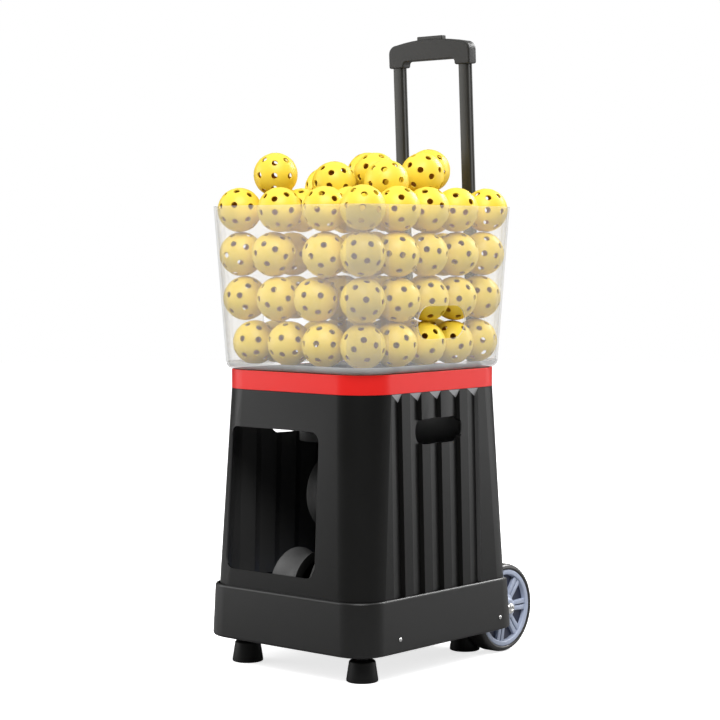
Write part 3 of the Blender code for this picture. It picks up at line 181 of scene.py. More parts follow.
finishes = {
    "shellBlack": moulded("shellBlack", {
        "dark": (0.0046, 0.0046, 0.0044), "light": (0.0064, 0.0064, 0.0061), "cloud": 9.0, "grain": 1500.0,
        "rough": 0.36, "roughSpread": 0.10, "relief": 0.12, "depth": 0.0004, "shine": 0.25}),
    "baseBlack": moulded("baseBlack", {
        "dark": (0.0050, 0.0050, 0.0048), "light": (0.0070, 0.0070, 0.0067), "cloud": 7.0, "grain": 1200.0,
        "rough": 0.37, "roughSpread": 0.10, "relief": 0.14, "depth": 0.0004, "shine": 0.44}),
    # painted light: a grey far lighter than the shell's black, for the shell's shaded inside
    "innerWallPaintedLight": moulded("innerWallPaintedLight", {
        "dark": (0.042, 0.042, 0.042), "light": (0.060, 0.060, 0.060), "cloud": 7.0, "grain": 1200.0,
        "rough": 0.36, "roughSpread": 0.10, "relief": 0.12, "depth": 0.0004, "shine": 0.9}),
    "insideBlack": moulded("insideBlack", {
        "dark": (0.0085, 0.0085, 0.0085), "light": (0.0120, 0.0120, 0.0120), "cloud": 12.0, "grain": 900.0,
        "rough": 0.42, "roughSpread": 0.12, "relief": 0.15, "depth": 0.0004, "shine": 0.5}),
    # painted reflection: light grey for the black shell's slanted facets under the band
    "facetPaintedReflection": moulded("facetPaintedReflection", {
        "dark": (0.36, 0.36, 0.375), "light": (0.70, 0.70, 0.72), "cloud": 900.0, "grain": 1800.0,
        "rough": 0.5, "roughSpread": 0.2, "relief": 0.3, "depth": 0.0004}),
    "bandRed": moulded("bandRed", {
        "dark": (0.76, 0.014, 0.011), "light": (0.85, 0.021, 0.017), "cloud": 11.0, "grain": 700.0,
        "rough": 0.36, "roughSpread": 0.08, "relief": 0.05, "depth": 0.0003, "shine": 0.30}),
    "footRubber": moulded("footRubber", {
        "dark": (0.0035, 0.0035, 0.0033), "light": (0.0075, 0.0075, 0.0070), "cloud": 60.0, "grain": 900.0,
        "rough": 0.52, "roughSpread": 0.14, "relief": 0.25, "depth": 0.0005, "shine": 0.32}),
    "tyreRubber": moulded("tyreRubber", {
        "dark": (0.013, 0.0125, 0.012), "light": (0.022, 0.021, 0.020), "cloud": 30.0, "grain": 1100.0,
        "rough": 0.32, "roughSpread": 0.12, "relief": 0.12, "depth": 0.0004, "shine": 0.55}),
    "treadRubber": moulded("treadRubber", {
        "dark": (0.042, 0.042, 0.042), "light": (0.070, 0.070, 0.070), "cloud": 45.0, "grain": 800.0,
        "rough": 0.58, "roughSpread": 0.16, "relief": 0.5, "depth": 0.0006}),
    "rimBlue": moulded("rimBlue", {
        "dark": (0.360, 0.410, 0.540), "light": (0.470, 0.525, 0.660), "cloud": 26.0, "grain": 1400.0,
        "rough": 0.40, "roughSpread": 0.10, "relief": 0.10, "depth": 0.0004}),
    # painted shade: a dark navy copy of the rim's blue, for the pocket floors
    "rimPaintedShadeNavy": moulded("rimPaintedShadeNavy", {
        "dark": (0.009, 0.013, 0.036), "light": (0.022, 0.031, 0.072), "cloud": 40.0, "grain": 1100.0,
        "rough": 0.5, "roughSpread": 0.14, "relief": 0.25, "depth": 0.0004}),
    "gripBlack": moulded("gripBlack", {
        "dark": (0.0125, 0.0122, 0.0108), "light": (0.0175, 0.0170, 0.0152), "cloud": 14.0, "grain": 1000.0,
        "rough": 0.44, "roughSpread": 0.10, "relief": 0.25, "depth": 0.0005, "shine": 0.4}),
    "ballYellow": moulded("ballYellow", {
        "dark": (0.83, 0.600, 0.040), "light": (0.90, 0.680, 0.070), "cloud": 22.0, "grain": 900.0,
        "rough": 0.42, "roughSpread": 0.10, "relief": 0.06, "depth": 0.0003, "shine": 0.4}),
    # painted shade: a darker orange-brown copy of the ball's yellow, for its inside
    "ballInsidePaintedShade": moulded("ballInsidePaintedShade", {
        "dark": (0.52, 0.235, 0.018), "light": (0.64, 0.310, 0.030), "cloud": 30.0, "grain": 900.0,
        "rough": 0.6, "roughSpread": 0.10, "relief": 0.06, "depth": 0.0003}),
    "plainWhite": moulded("plainWhite", {
        "dark": (0.70, 0.70, 0.68), "light": (0.80, 0.80, 0.78), "cloud": 20.0, "grain": 900.0,
        "rough": 0.45, "roughSpread": 0.10, "relief": 0.10, "depth": 0.0003}),
    "batteryBlue": moulded("batteryBlue", {
        "dark": (0.030, 0.080, 0.240), "light": (0.045, 0.110, 0.310), "cloud": 16.0, "grain": 900.0,
        "rough": 0.42, "roughSpread": 0.10, "relief": 0.12, "depth": 0.0003}),
    "boltSteel": metal("boltSteel", {
        "dark": (0.56, 0.56, 0.55), "light": (0.80, 0.80, 0.79), "metallic": 1.0, "streaks": 260.0,
        "stretch": (1.0, 5.0, 5.0), "rough": 0.24, "roughSpread": 0.12, "relief": 0.10}),
    "blackZinc": metal("blackZinc", {
        "dark": (0.016, 0.016, 0.016), "light": (0.030, 0.030, 0.029), "metallic": 0.6, "streaks": 110.0,
        "stretch": (1.0, 1.0, 4.0), "rough": 0.38, "roughSpread": 0.14, "relief": 0.10}),
    "zincSheet": metal("zincSheet", {
        "dark": (0.34, 0.34, 0.33), "light": (0.52, 0.52, 0.50), "metallic": 0.95, "streaks": 110.0,
        "stretch": (1.0, 1.0, 4.0), "rough": 0.40, "roughSpread": 0.16, "relief": 0.10}),
    "tubeBlack": metal("tubeBlack", {
        "dark": (0.022, 0.0215, 0.0190), "light": (0.033, 0.0325, 0.0290), "metallic": 0.35, "streaks": 420.0,
        "stretch": (1.0, 1.0, 0.04), "rough": 0.36, "roughSpread": 0.10, "relief": 0.12}),
    "motorGrey": metal("motorGrey", {
        "dark": (0.10, 0.10, 0.105), "light": (0.18, 0.18, 0.187), "metallic": 0.85, "streaks": 200.0,
        "stretch": (4.0, 1.0, 1.0), "rough": 0.40, "roughSpread": 0.14, "relief": 0.10}),
    "hopperClear": clearSheet("hopperClear", {
        "dark": (0.88, 0.89, 0.90), "light": (0.96, 0.965, 0.97), "cloud": 5.0, "rough": 0.06,
        "cover": 0.115, "coverSpread": 0.05}),
    # painted reflection: denser pale grey for the hopper's corners
    "hopperCornerPaintedReflection": clearSheet("hopperCornerPaintedReflection", {
        "dark": (0.62, 0.62, 0.62), "light": (0.78, 0.78, 0.78), "cloud": 5.0, "rough": 0.08,
        "cover": 0.22, "coverSpread": 0.08}),
    # painted light: denser grey for the hopper's cut edges
    "hopperEdgePaintedLight": clearSheet("hopperEdgePaintedLight", {
        "dark": (0.56, 0.565, 0.57), "light": (0.80, 0.81, 0.82), "cloud": 30.0, "rough": 0.10,
        "cover": 0.46, "coverSpread": 0.16}),
}
print("finishes made:", len(finishes))


# mesh helpers
def middleOf(node):
    low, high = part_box(node)
    return (low + high) / 2


def sizeOf(node):
    low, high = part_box(node)
    return high - low


def turn(profile, steps=64, closed=True):
    bm = bmesh.new()
    ring = [bm.verts.new((radius, 0.0, height)) for radius, height in profile]
    pairs = list(zip(ring, ring[1:]))
    if closed:
        pairs.append((ring[-1], ring[0]))
    edges = [bm.edges.new(pair) for pair in pairs]
    bmesh.ops.spin(bm, geom=ring + edges, cent=(0, 0, 0), axis=(0, 0, 1), dvec=(0, 0, 0), angle=2 * math.pi,
                   steps=steps, use_merge=True, use_duplicate=False)
    bmesh.ops.remove_doubles(bm, verts=bm.verts, dist=0.000001)
    bmesh.ops.recalc_face_normals(bm, faces=bm.faces)
    return bm


def softenEdges(bm, width, angle=32, segments=2):
    sharp = [edge for edge in bm.edges if edge.is_manifold and edge.calc_face_angle() > math.radians(angle)]
    bmesh.ops.bevel(bm, geom=sharp, offset=width, offset_type="OFFSET", segments=segments, profile=0.5,
                    affect="EDGES", clamp_overlap=True, material=-1)


def addBlock(bm, size, place=Matrix()):
    made = bmesh.ops.create_cube(bm, size=1.0, matrix=place @ Matrix.Diagonal((*size, 1.0)))
    return made["verts"]


# a CAD solid comes as loose triangles, so its copy is merged and its flat faces are joined first
def cadCopy(node):
    bm = bmesh.new()
    bm.from_mesh(cadNodes[node].data)
    bmesh.ops.remove_doubles(bm, verts=bm.verts, dist=0.00001)
    bmesh.ops.dissolve_limit(bm, angle_limit=math.radians(0.3), verts=bm.verts, edges=bm.edges)
    return bm


def finishPiece(name, bm, body, materials, stands=(), place=None, sharp=35):
    if place is not None:
        bmesh.ops.transform(bm, matrix=place, verts=bm.verts)
    mesh = bpy.data.meshes.new(name)
    bm.to_mesh(mesh)
    bm.free()
    for material in materials:
        mesh.materials.append(finishes[material])
    mesh.shade_smooth()
    mesh.set_sharp_from_angle(angle=math.radians(sharp))
    piece = bpy.data.objects.new(name, mesh)
    bpy.context.scene.collection.objects.link(piece)
    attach(piece, body)
    if stands:
        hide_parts(*stands)
    return piece


def levelShading(piece):
    piece.modifiers.new("levelShading", "WEIGHTED_NORMAL").keep_sharp = True
    return piece


middle = middleOf("body_shell")
towardsX = Matrix.Rotation(math.radians(90), 4, "Y")
towardsMinusX = Matrix.Rotation(math.radians(-90), 4, "Y")
handleAxis = jointAxes["handle_slide"]
handleTilt = Matrix.Rotation(math.asin(-handleAxis.y), 4, "X")


# the tapered body: hollow side flutes that end in slanted facets under the band, painted light grey as a
# painted reflection
shellLook = {"edge": 0.0008, "hollow": 0.0085, "hollowSteps": 4, "facetHeight": 0.016, "facetSlope": -0.2,
             "sill": 0.150}


def bodyShell():
    bm = cadCopy("body_shell")
    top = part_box("trim_band")[0].z
    creases = []
    for edge in bm.edges:
        run = (edge.verts[1].co - edge.verts[0].co).normalized()
        if edge.is_manifold and abs(run.z) > 0.9 and edge.calc_length() > 0.15:
            if 6 < math.degrees(edge.calc_face_angle()) < 24 and abs(edge.verts[0].co.y - middle.y) < 0.152:
                creases.append(edge)
    print("flute creases:", len(creases))
    bmesh.ops.bevel(bm, geom=creases, offset=shellLook["hollow"], offset_type="OFFSET", profile=0.5,
                    segments=shellLook["hollowSteps"], affect="EDGES", clamp_overlap=True, material=-1)
    facets = 0
    for face in bm.faces:
        spot = face.calc_center_median()
        # painted light: the shell's inward faces above the sill get a grey about ten times lighter than its
        # outside black, lifting its shaded inside
        inward = face.normal.x * (middle.x - spot.x) + face.normal.y * (middle.y - spot.y)
        if inward > 0.05 and abs(face.normal.z) < 0.6 and spot.z > shellLook["sill"]:
            face.material_index = 2
        # painted reflection: the black shell's downward slanted facets under the band are painted light grey,
        # standing in for the pale floor reflected in them
        outward = face.normal.x * spot.x > 0 and face.normal.z < shellLook["facetSlope"]
        if outward and abs(spot.x) > 0.14 and top - shellLook["facetHeight"] < spot.z < top + 0.001:
            face.material_index = 1
            facets += 1
    print("facets:", facets)
    softenEdges(bm, shellLook["edge"], 25)
    levelShading(finishPiece("body_shell_skin", bm, "chassis",
                             ["shellBlack", "facetPaintedReflection", "innerWallPaintedLight"],
                             ["body_shell"]))


bodyShell()


# base tray, trim band and deck
trayLook = {"edge": 0.0009, "bandEdge": 0.0007}


def baseAndBand():
    tray = cadCopy("base_tray")
    softenEdges(tray, trayLook["edge"], 40)
    levelShading(finishPiece("base_tray_skin", tray, "chassis", ["baseBlack"],
                             ["base_tray"]))
    band = cadCopy("trim_band")
    softenEdges(band, trayLook["bandEdge"], 40)
    levelShading(finishPiece("trim_band_skin", band, "chassis", ["bandRed"], ["trim_band"]))
    deck = cadCopy("top_deck")
    softenEdges(deck, trayLook["bandEdge"], 40)
    finishPiece("top_deck_skin", deck, "chassis", ["insideBlack"], ["top_deck"])


baseAndBand()
print("body, base and band done")


# clear hopper: thin haze on the walls; round the corners a denser pale grey as a painted reflection, and
# along every cut edge a denser grey as painted light caught in the edges
hopperLook = {"edge": 0.0012, "rimHeight": 0.004, "footHeight": 0.0125, "cornerX": 0.128, "cornerY": 0.150}


def hopper():
    bm = cadCopy("hopper_tub")
    low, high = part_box("hopper_tub")
    centre = (low + high) / 2
    softenEdges(bm, hopperLook["edge"], 40)
    for face in bm.faces:
        spot = face.calc_center_median()
        aside = (abs(spot.x - centre.x) > hopperLook["cornerX"] and
                 abs(spot.y - centre.y) > hopperLook["cornerY"])
        inHole = low.z + 0.045 < spot.z < low.z + 0.115 and abs(spot.y - centre.y) < 0.10
        # painted light: the rim and the hole edges get a denser grey standing in for light caught along the
        # cut edges; the lowest band of the walls gets the same denser grey
        if face.calc_area() < 0.0006 and (spot.z > high.z - hopperLook["rimHeight"] or
                                          (inHole and abs(face.normal.x) < 0.9)):
            face.material_index = 2
        elif spot.z < low.z + hopperLook["footHeight"] and abs(face.normal.z) < 0.95:
            face.material_index = 2
        # painted reflection: the corners get a denser pale grey, standing in for the glare off the sheet
        # where it turns away
        elif aside:
            face.material_index = 1
    levelShading(finishPiece("hopper_tub_clear", bm, "hopper",
                             ["hopperClear", "hopperCornerPaintedReflection", "hopperEdgePaintedLight"], ["hopper_tub"]))


hopper()


# holed balls: a cube's 26 points on a sphere, each opened to a round hole
ballLook = {"radius": 0.037, "hole": 0.0053, "cut": 0.0078, "wall": 0.0022, "seed": 7}
heapLook = {"layers": 4, "rise": 0.0735, "lift": 0.0449, "aside": 0.13, "jitter": 0.003, "tries": 700,
            "goes": 8, "heap": 9, "heapWidth": 0.105, "heapDepth": 0.115, "drops": 250, "spare": 0.0002,
            "rounds": 120, "seed": 5}


def wallGap(tub, start, way):
    return (tub.ray_cast(start, Vector(way))[0] - start).length - ballLook["radius"] - heapLook["spare"]


# balls along a wall: as many as fit, with what room is left shared out by chance
def ballRow(chance, low, high, pitch):
    count = int((high - low) / pitch) + 1
    room = high - low - (count - 1) * pitch
    shares = sorted(chance.random() for _ in range(count - 1)) + [1.0]
    return [low + index * pitch + room * share for index, share in enumerate(shares)]


# one layer: a row along the front wall, a row along the right wall, and the rest where they fit
def ballLayer(chance, tub, centre, height, pitch):
    spot = Vector((centre.x, centre.y, height))
    corner = spot - Vector((0, heapLook["aside"], 0))
    right = spot.x + wallGap(tub, corner, (1, 0, 0))
    left = spot.x - wallGap(tub, corner, (-1, 0, 0))
    front = spot.y - wallGap(tub, spot, (0, -1, 0))
    rear = spot.y + wallGap(tub, spot + Vector((heapLook["aside"], 0, 0)), (0, 1, 0))
    rows = [Vector((x, front, height)) for x in ballRow(chance, left, right, pitch)]
    rows += [Vector((right, y, height)) for y in ballRow(chance, front + pitch, rear, pitch)]
    most = []
    for _ in range(heapLook["goes"]):
        found = []
        for _ in range(heapLook["tries"]):
            drift = chance.uniform(-heapLook["jitter"], heapLook["jitter"])
            place = Vector((chance.uniform(left, right), chance.uniform(front, rear), height + drift))
            if all((place - other).length >= pitch for other in rows + found):
                found.append(place)
        if len(found) > len(most):
            most = found
    return rows, most


# a heaped ball comes to rest in the lowest hollow of a few that it might fall in
def heapedBall(chance, centre, places, pitch):
    best = None
    for _ in range(heapLook["drops"]):
        x = centre.x + chance.uniform(-heapLook["heapWidth"], heapLook["heapWidth"])
        y = centre.y + chance.uniform(-heapLook["heapDepth"], heapLook["heapDepth"])
        under = [(place.z, math.hypot(place.x - x, place.y - y)) for place in places]
        height = max([z + math.sqrt(pitch ** 2 - away ** 2) for z, away in under if away < pitch],
                     default=None)
        if height is not None and (best is None or height < best.z):
            best = Vector((x, y, height))
    return best


def settleBalls(places, tub, pitch):
    for _ in range(heapLook["rounds"]):
        for index, first in enumerate(places):
            for second in places[index + 1:]:
                between = second - first
                if between.length < pitch:
                    push = between.normalized() * (pitch - between.length) / 2
                    first -= push
                    second += push
        for place in places:
            away = place - tub.find_nearest(place)[0]
            place += away.normalized() * max(0.0, pitch / 2 - away.length)


def ballPlaces():
    chance = random.Random(heapLook["seed"])
    shell = cadCopy("hopper_tub")
    tub = BVHTree.FromBMesh(shell)
    shell.free()
    centre = middleOf("hopper_tub")
    pitch = 2 * ballLook["radius"] + heapLook["spare"]
    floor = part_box("hopper_tub")[0].z + heapLook["lift"]
    layers = []
    for index in range(heapLook["layers"]):
        rows, rest = ballLayer(chance, tub, centre, floor + index * heapLook["rise"], pitch)
        layers.append([(place, 1) for place in rows] + [(place, 0) for place in rest])
    heap = []
    for _ in range(heapLook["heap"]):
        below = [place for place, _ in layers[-1]]
        heap.append((heapedBall(chance, centre, below + [place for place, _ in heap], pitch), 1))
    layers.append(heap)
    settleBalls([place for layer in layers for place, _ in layer], tub, pitch)
    return layers


def ballMesh(levels):
    bm = bmesh.new()
    bmesh.ops.create_cube(bm, size=1.0)
    bmesh.ops.subdivide_edges(bm, edges=bm.edges, cuts=1, use_grid_fill=True)
    radius = ballLook["radius"]
    for vert in bm.verts:
        vert.co = vert.co.normalized() * radius
    holes = [vert.co.normalized() for vert in bm.verts]
    made = bmesh.ops.bevel(bm, geom=bm.verts[:], offset=ballLook["cut"], offset_type="OFFSET", segments=2,
                           profile=0.5, affect="VERTICES", clamp_overlap=True, material=-1)
    bmesh.ops.delete(bm, geom=made["faces"], context="FACES")
    mesh = bpy.data.meshes.new("ball")
    bm.to_mesh(mesh)
    bm.free()
    shape = bpy.data.objects.new("ball", mesh)
    bpy.context.scene.collection.objects.link(shape)
    rounder = shape.modifiers.new("rounder", "SUBSURF")
    rounder.levels = levels
    rounder.render_levels = levels
    graph = bpy.context.evaluated_depsgraph_get()
    bm = bmesh.new()
    bm.from_mesh(shape.evaluated_get(graph).to_mesh())
    bpy.data.objects.remove(shape)
    slope = math.asin(ballLook["hole"] / radius)
    for vert in bm.verts:
        way = vert.co.normalized()
        if vert.is_boundary:
            hole = max(holes, key=way.dot)      # the rim of each hole is drawn to a true circle
            way = hole * math.cos(slope) + (way - hole * way.dot(hole)).normalized() * math.sin(slope)
        vert.co = way * radius
    bm.normal_update()
    if sum(face.normal.dot(face.calc_center_median()) for face in bm.faces) < 0:
        bmesh.ops.reverse_faces(bm, faces=bm.faces)
    bmesh.ops.solidify(bm, geom=bm.faces[:], thickness=ballLook["wall"])
    bm.normal_update()
    # painted shade: faces pointing into the ball get a darker orange-brown copy of its yellow, as its shaded
    # inside looks
    for face in bm.faces:
        if face.normal.dot(face.calc_center_median()) < 0:
            face.material_index = 1
    return bm


def ballHeap():
    chance = random.Random(ballLook["seed"])
    fine = ballMesh(2)
    coarse = ballMesh(1)
    shapes = []
    for shape in (coarse, fine):
        mesh = bpy.data.meshes.new("ballShape")
        shape.to_mesh(mesh)
        shape.free()
        shapes.append(mesh)
    layers = ballPlaces()
    print("balls placed:", [len(layer) for layer in layers])
    for index, spots in enumerate(layers):
        bm = bmesh.new()
        for spot, near in spots:
            spin = Matrix.Rotation(chance.uniform(0, 6.28), 4,
                                   Vector((chance.gauss(0, 1), chance.gauss(0, 1), 1)))
            copy = shapes[near].copy()
            copy.transform(Matrix.Translation(spot) @ spin)
            bm.from_mesh(copy)
            bpy.data.meshes.remove(copy)
        finishPiece(f"balls_layer_{index + 1}", bm, "hopper", ["ballYellow", "ballInsidePaintedShade"],
                    sharp=50)


ballHeap()
print("hopper and balls done")


# transport wheels: rubber tyre, twin-spoke rim, bolt
wheelLook = {"spokes": 7, "barWidth": 0.0066, "slot": 0.0024, "shoulder": 0.0045, "flange": 0.0092}


def transportWheel(word, side):
    spot = middleOf("tyre_" + word)
    reach = sizeOf("tyre_" + word)
    outer = reach.z / 2
    half = reach.x / 2
    rim = sizeOf("rim_" + word).z / 2
    axis = towardsX if side > 0 else towardsMinusX
    place = Matrix.Translation(spot) @ axis
    body = "wheel_" + word
    inner = rim + 0.0003
    shoulder = wheelLook["shoulder"]
    tread = [(inner, half - 0.0012), (inner + 0.0020, half), (outer - 0.0062, half),
             (outer - 0.0030, half - 0.0012),
             (outer - 0.0008, half - shoulder), (outer, half - 2 * shoulder), (outer, 2 * shoulder - half),
             (outer - 0.0008, shoulder - half), (outer - 0.0030, 0.0012 - half), (outer - 0.0062, -half),
             (inner + 0.0020, -half), (inner, 0.0012 - half)]
    tyre = turn(tread, 96)
    softenEdges(tyre, 0.0006, 20)
    finishPiece("tyre_rubber_" + word, tyre, body, ["tyreRubber"], ["tyre_" + word], place, 40)
    rimPiece(word, body, rim, half, place)


def rimPiece(word, body, rim, half, place):
    flange = wheelLook["flange"]
    lip = rim - flange
    front = half - 0.0012
    floor = half - 0.0090
    back = half - 0.0150
    profile = [(0.0064, half + 0.0066), (0.0150, half + 0.0066), (0.0172, half + 0.0048),
               (0.0196, half - 0.0030),
               (0.0250, half - 0.0034), (0.0252, floor), (lip, floor), (lip + 0.0006, front - 0.0016),
               (lip + 0.0018, front), (rim - 0.0008, front), (rim, front - 0.0008), (rim, 0.0010 - half),
               (lip, 0.0010 - half), (lip, back), (0.0210, back), (0.0210, 0.0030 - half), (0.0064,
                                                                                            0.0030 - half)]
    bm = turn(profile, 96)
    # painted shade: the pocket floors between the spokes get a dark navy, a shaded copy of the rim's blue
    paintedShadeFloor = [face for face in bm.faces if abs(face.calc_center_median().z - floor) < 0.0002]
    for face in paintedShadeFloor:
        face.material_index = 1
    top = half - 0.0034
    spread = (wheelLook["barWidth"] + wheelLook["slot"]) / 2
    for index in range(wheelLook["spokes"]):
        angle = math.radians(90 + 360 * index / wheelLook["spokes"])
        for side in (-1, 1):
            bar = addBlock(bm, (lip - 0.0215, wheelLook["barWidth"], top - floor + 0.0006))
            for vert in bar:
                if vert.co.x > 0 and vert.co.y * side > 0:
                    vert.co.y += side * 0.0018      # spokes widen towards the rim
                vert.co.y += side * spread
                vert.co.x += (lip + 0.0235) / 2
                vert.co.z += (top + floor - 0.0006) / 2
            bmesh.ops.transform(bm, matrix=Matrix.Rotation(angle, 4, "Z"), verts=bar)
    softenEdges(bm, 0.0005, 30)
    finishPiece("rim_spokes_" + word, bm, body, ["rimBlue", "rimPaintedShadeNavy"], ["rim_" + word], place,
                40)


def hubBolt(word, side):
    low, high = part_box("hub_cap_" + word)
    start = low.x if side > 0 else high.x
    axis = towardsX if side > 0 else towardsMinusX
    radius = (high.z - low.z) / 2
    rise = high.x - low.x
    place = Matrix.Translation((start, (low.y + high.y) / 2, (low.z + high.z) / 2)) @ axis
    bm = turn([(0.0, 0.0), (radius, 0.0), (radius, rise * 0.38), (radius * 0.86, rise * 0.78),
               (radius * 0.55, rise),
               (radius * 0.36, rise), (radius * 0.30, rise * 0.62), (0.0, rise * 0.55)], 48, closed=False)
    softenEdges(bm, 0.0004, 25)
    finishPiece("hub_bolt_" + word, bm, "chassis", ["boltSteel"], ["hub_cap_" + word], place, 40)


for word, side in (("left", -1), ("right", 1)):
    transportWheel(word, side)
    hubBolt(word, side)
print("transport wheels done")


# telescopic handle: grooved tubes in plain sleeves, arched grip with its button
handleLook = {"corner": 0.0030, "grooveDepth": 0.0009, "gripEdge": 0.0006}


def groovedTube(word):
    node = "handle_tube_" + word
    size = sizeOf(node)
    width = size.x
    depth = width * 15 / 21
    length = (size.z - depth * abs(handleAxis.y)) / handleAxis.z
    bm = bmesh.new()
    addBlock(bm, (width, depth, length))
    upright = [edge for edge in bm.edges if abs(edge.verts[0].co.z - edge.verts[1].co.z) > length / 2]
    bmesh.ops.bevel(bm, geom=upright, offset=handleLook["corner"], offset_type="OFFSET", segments=4,
                    profile=0.5,
                    affect="EDGES", clamp_overlap=True, material=-1)
    flanks = [face for face in bm.faces if abs(face.normal.x) > 0.99]
    bmesh.ops.inset_individual(bm, faces=flanks, thickness=(depth - 2 * handleLook["corner"]) * 0.28,
                               depth=0.0)
    bmesh.ops.inset_individual(bm, faces=flanks, thickness=0.0004, depth=-handleLook["grooveDepth"])
    place = Matrix.Translation(middleOf(node)) @ handleTilt
    finishPiece("grooved_tube_" + word, bm, "handle", ["tubeBlack"], [node], place, 30)


def handleParts():
    for word in ("left", "right"):
        groovedTube(word)
        sleeve = cadCopy("handle_sleeve_" + word)
        softenEdges(sleeve, 0.0005, 40)
        finishPiece("handle_sleeve_skin_" + word, sleeve, "chassis", ["tubeBlack"],
                    ["handle_sleeve_" + word])
    for word in ("upper", "lower"):
        bracket = cadCopy("handle_bracket_" + word)
        softenEdges(bracket, 0.0012, 40, 3)
        levelShading(finishPiece("handle_bracket_skin_" + word, bracket, "chassis",
                                 ["gripBlack"],
                                 ["handle_bracket_" + word]))
    grip = cadCopy("handle_grip")
    softenEdges(grip, handleLook["gripEdge"], 40)
    levelShading(finishPiece("handle_grip_skin", grip, "handle", ["gripBlack"],
                             ["handle_grip"]))
    button = cadCopy("release_button")
    softenEdges(button, 0.0003, 40)
    levelShading(finishPiece("release_button_skin", button, "handle_button", ["tubeBlack"],
                             ["release_button"]))


handleParts()
print("handle done")


# feet: black rubber cones on plated stems
footLook = {"edge": 0.0022}


def foot(word):
    low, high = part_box("foot_" + word)
    wide = (high.x - low.x) / 2
    tall = high.z
    narrow = wide * 0.0205 / 0.0265
    edge = footLook["edge"]
    bm = turn([(0.0, 0.0), (wide - edge, 0.0), (wide - 0.3 * edge, edge * 0.4), (wide - 0.0004, edge * 1.4),
               (narrow + 0.0012, tall - 1.2 * edge), (narrow - 0.2 * edge, tall - 0.3 * edge), (narrow - edge,
                                                                                                tall),
               (0.0, tall)], 64, closed=False)
    place = Matrix.Translation(((low.x + high.x) / 2, (low.y + high.y) / 2, 0.0))
    finishPiece("foot_rubber_" + word, bm, "chassis", ["footRubber"], ["foot_" + word], place, 30)


def baseScrew(end, word):
    node = f"base_screw_{end}_{word}"
    low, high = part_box(node)
    side = 1 if word == "right" else -1
    head = (high.z - low.z) / 2
    out = high.x if side > 0 else low.x
    axis = towardsX if side > 0 else towardsMinusX
    place = Matrix.Translation((out, (low.y + high.y) / 2, (low.z + high.z) / 2)) @ axis
    bm = turn([(0.0, -0.0006), (head * 0.30, -0.0006), (head * 0.36, 0.0), (head * 0.66, -0.0003),
               (head * 0.92, -0.0010), (head, -0.0016), (head, -0.0018), (0.002, -0.0018), (0.002, -0.0096),
               (0.0, -0.0096)], 32, closed=False)
    finishPiece(f"base_screw_head_{end}_{word}", bm, "chassis", ["boltSteel"], [node], place, 30)


for end in ("front", "rear"):
    for word in ("left", "right"):
        foot(f"{end}_{word}")
        baseScrew(end, word)
print("feet and screws done")


# throwing wheels: hollowed rubber treads on dark hubs
throwLook = {"ball": 0.037, "treadSteps": 16}


def throwWheel(word):
    spot = middleOf("throw_tyre_" + word)
    size = sizeOf("throw_tyre_" + word)
    radius = size.z / 2
    half = size.x / 2
    place = Matrix.Translation(spot) @ towardsX
    ball = throwLook["ball"]
    base = math.sqrt(ball ** 2 - half ** 2)
    tread = [(radius - 0.0006, half)]
    for step in range(1, throwLook["treadSteps"]):
        z = half - 2 * half * step / throwLook["treadSteps"]
        tread.append((radius - math.sqrt(ball ** 2 - z ** 2) + base, z))
    tread += [(radius - 0.0006, -half), (0.0488, -half), (0.0486, 0.0012 - half), (0.0486, half - 0.0012),
              (0.0488, half)]
    tyre = turn(tread, 96)
    for face in tyre.faces:
        if abs(face.normal.z) > 0.9:
            face.material_index = 1
    softenEdges(tyre, 0.0012, 40)
    body = "throw_" + word
    finishPiece("throw_tread_" + word, tyre, body, ["treadRubber", "footRubber"],
                ["throw_tyre_" + word], place, 30)
    hub = turn([(0.0, -0.0110), (0.0046, -0.0110), (0.0046, 0.0150), (0.0118, 0.0150), (0.0130, 0.0138),
                (0.0160, 0.0044), (0.0400, 0.0040), (0.0432, 0.0138), (0.0440, 0.0150), (0.0476, 0.0150),
                (0.0480, 0.0142), (0.0480, -0.0142), (0.0476, -0.0150), (0.0440, -0.0150), (0.0425, -0.0125),
                # a blind bore takes the motor's shaft
                (0.0150, -0.0130), (0.0, -0.0130)], 64, closed=False)
    finishPiece("throw_hub_disc_" + word, hub, body, ["insideBlack"], ["throw_hub_" + word],
                place, 35)


for word in ("upper", "lower"):
    throwWheel(word)


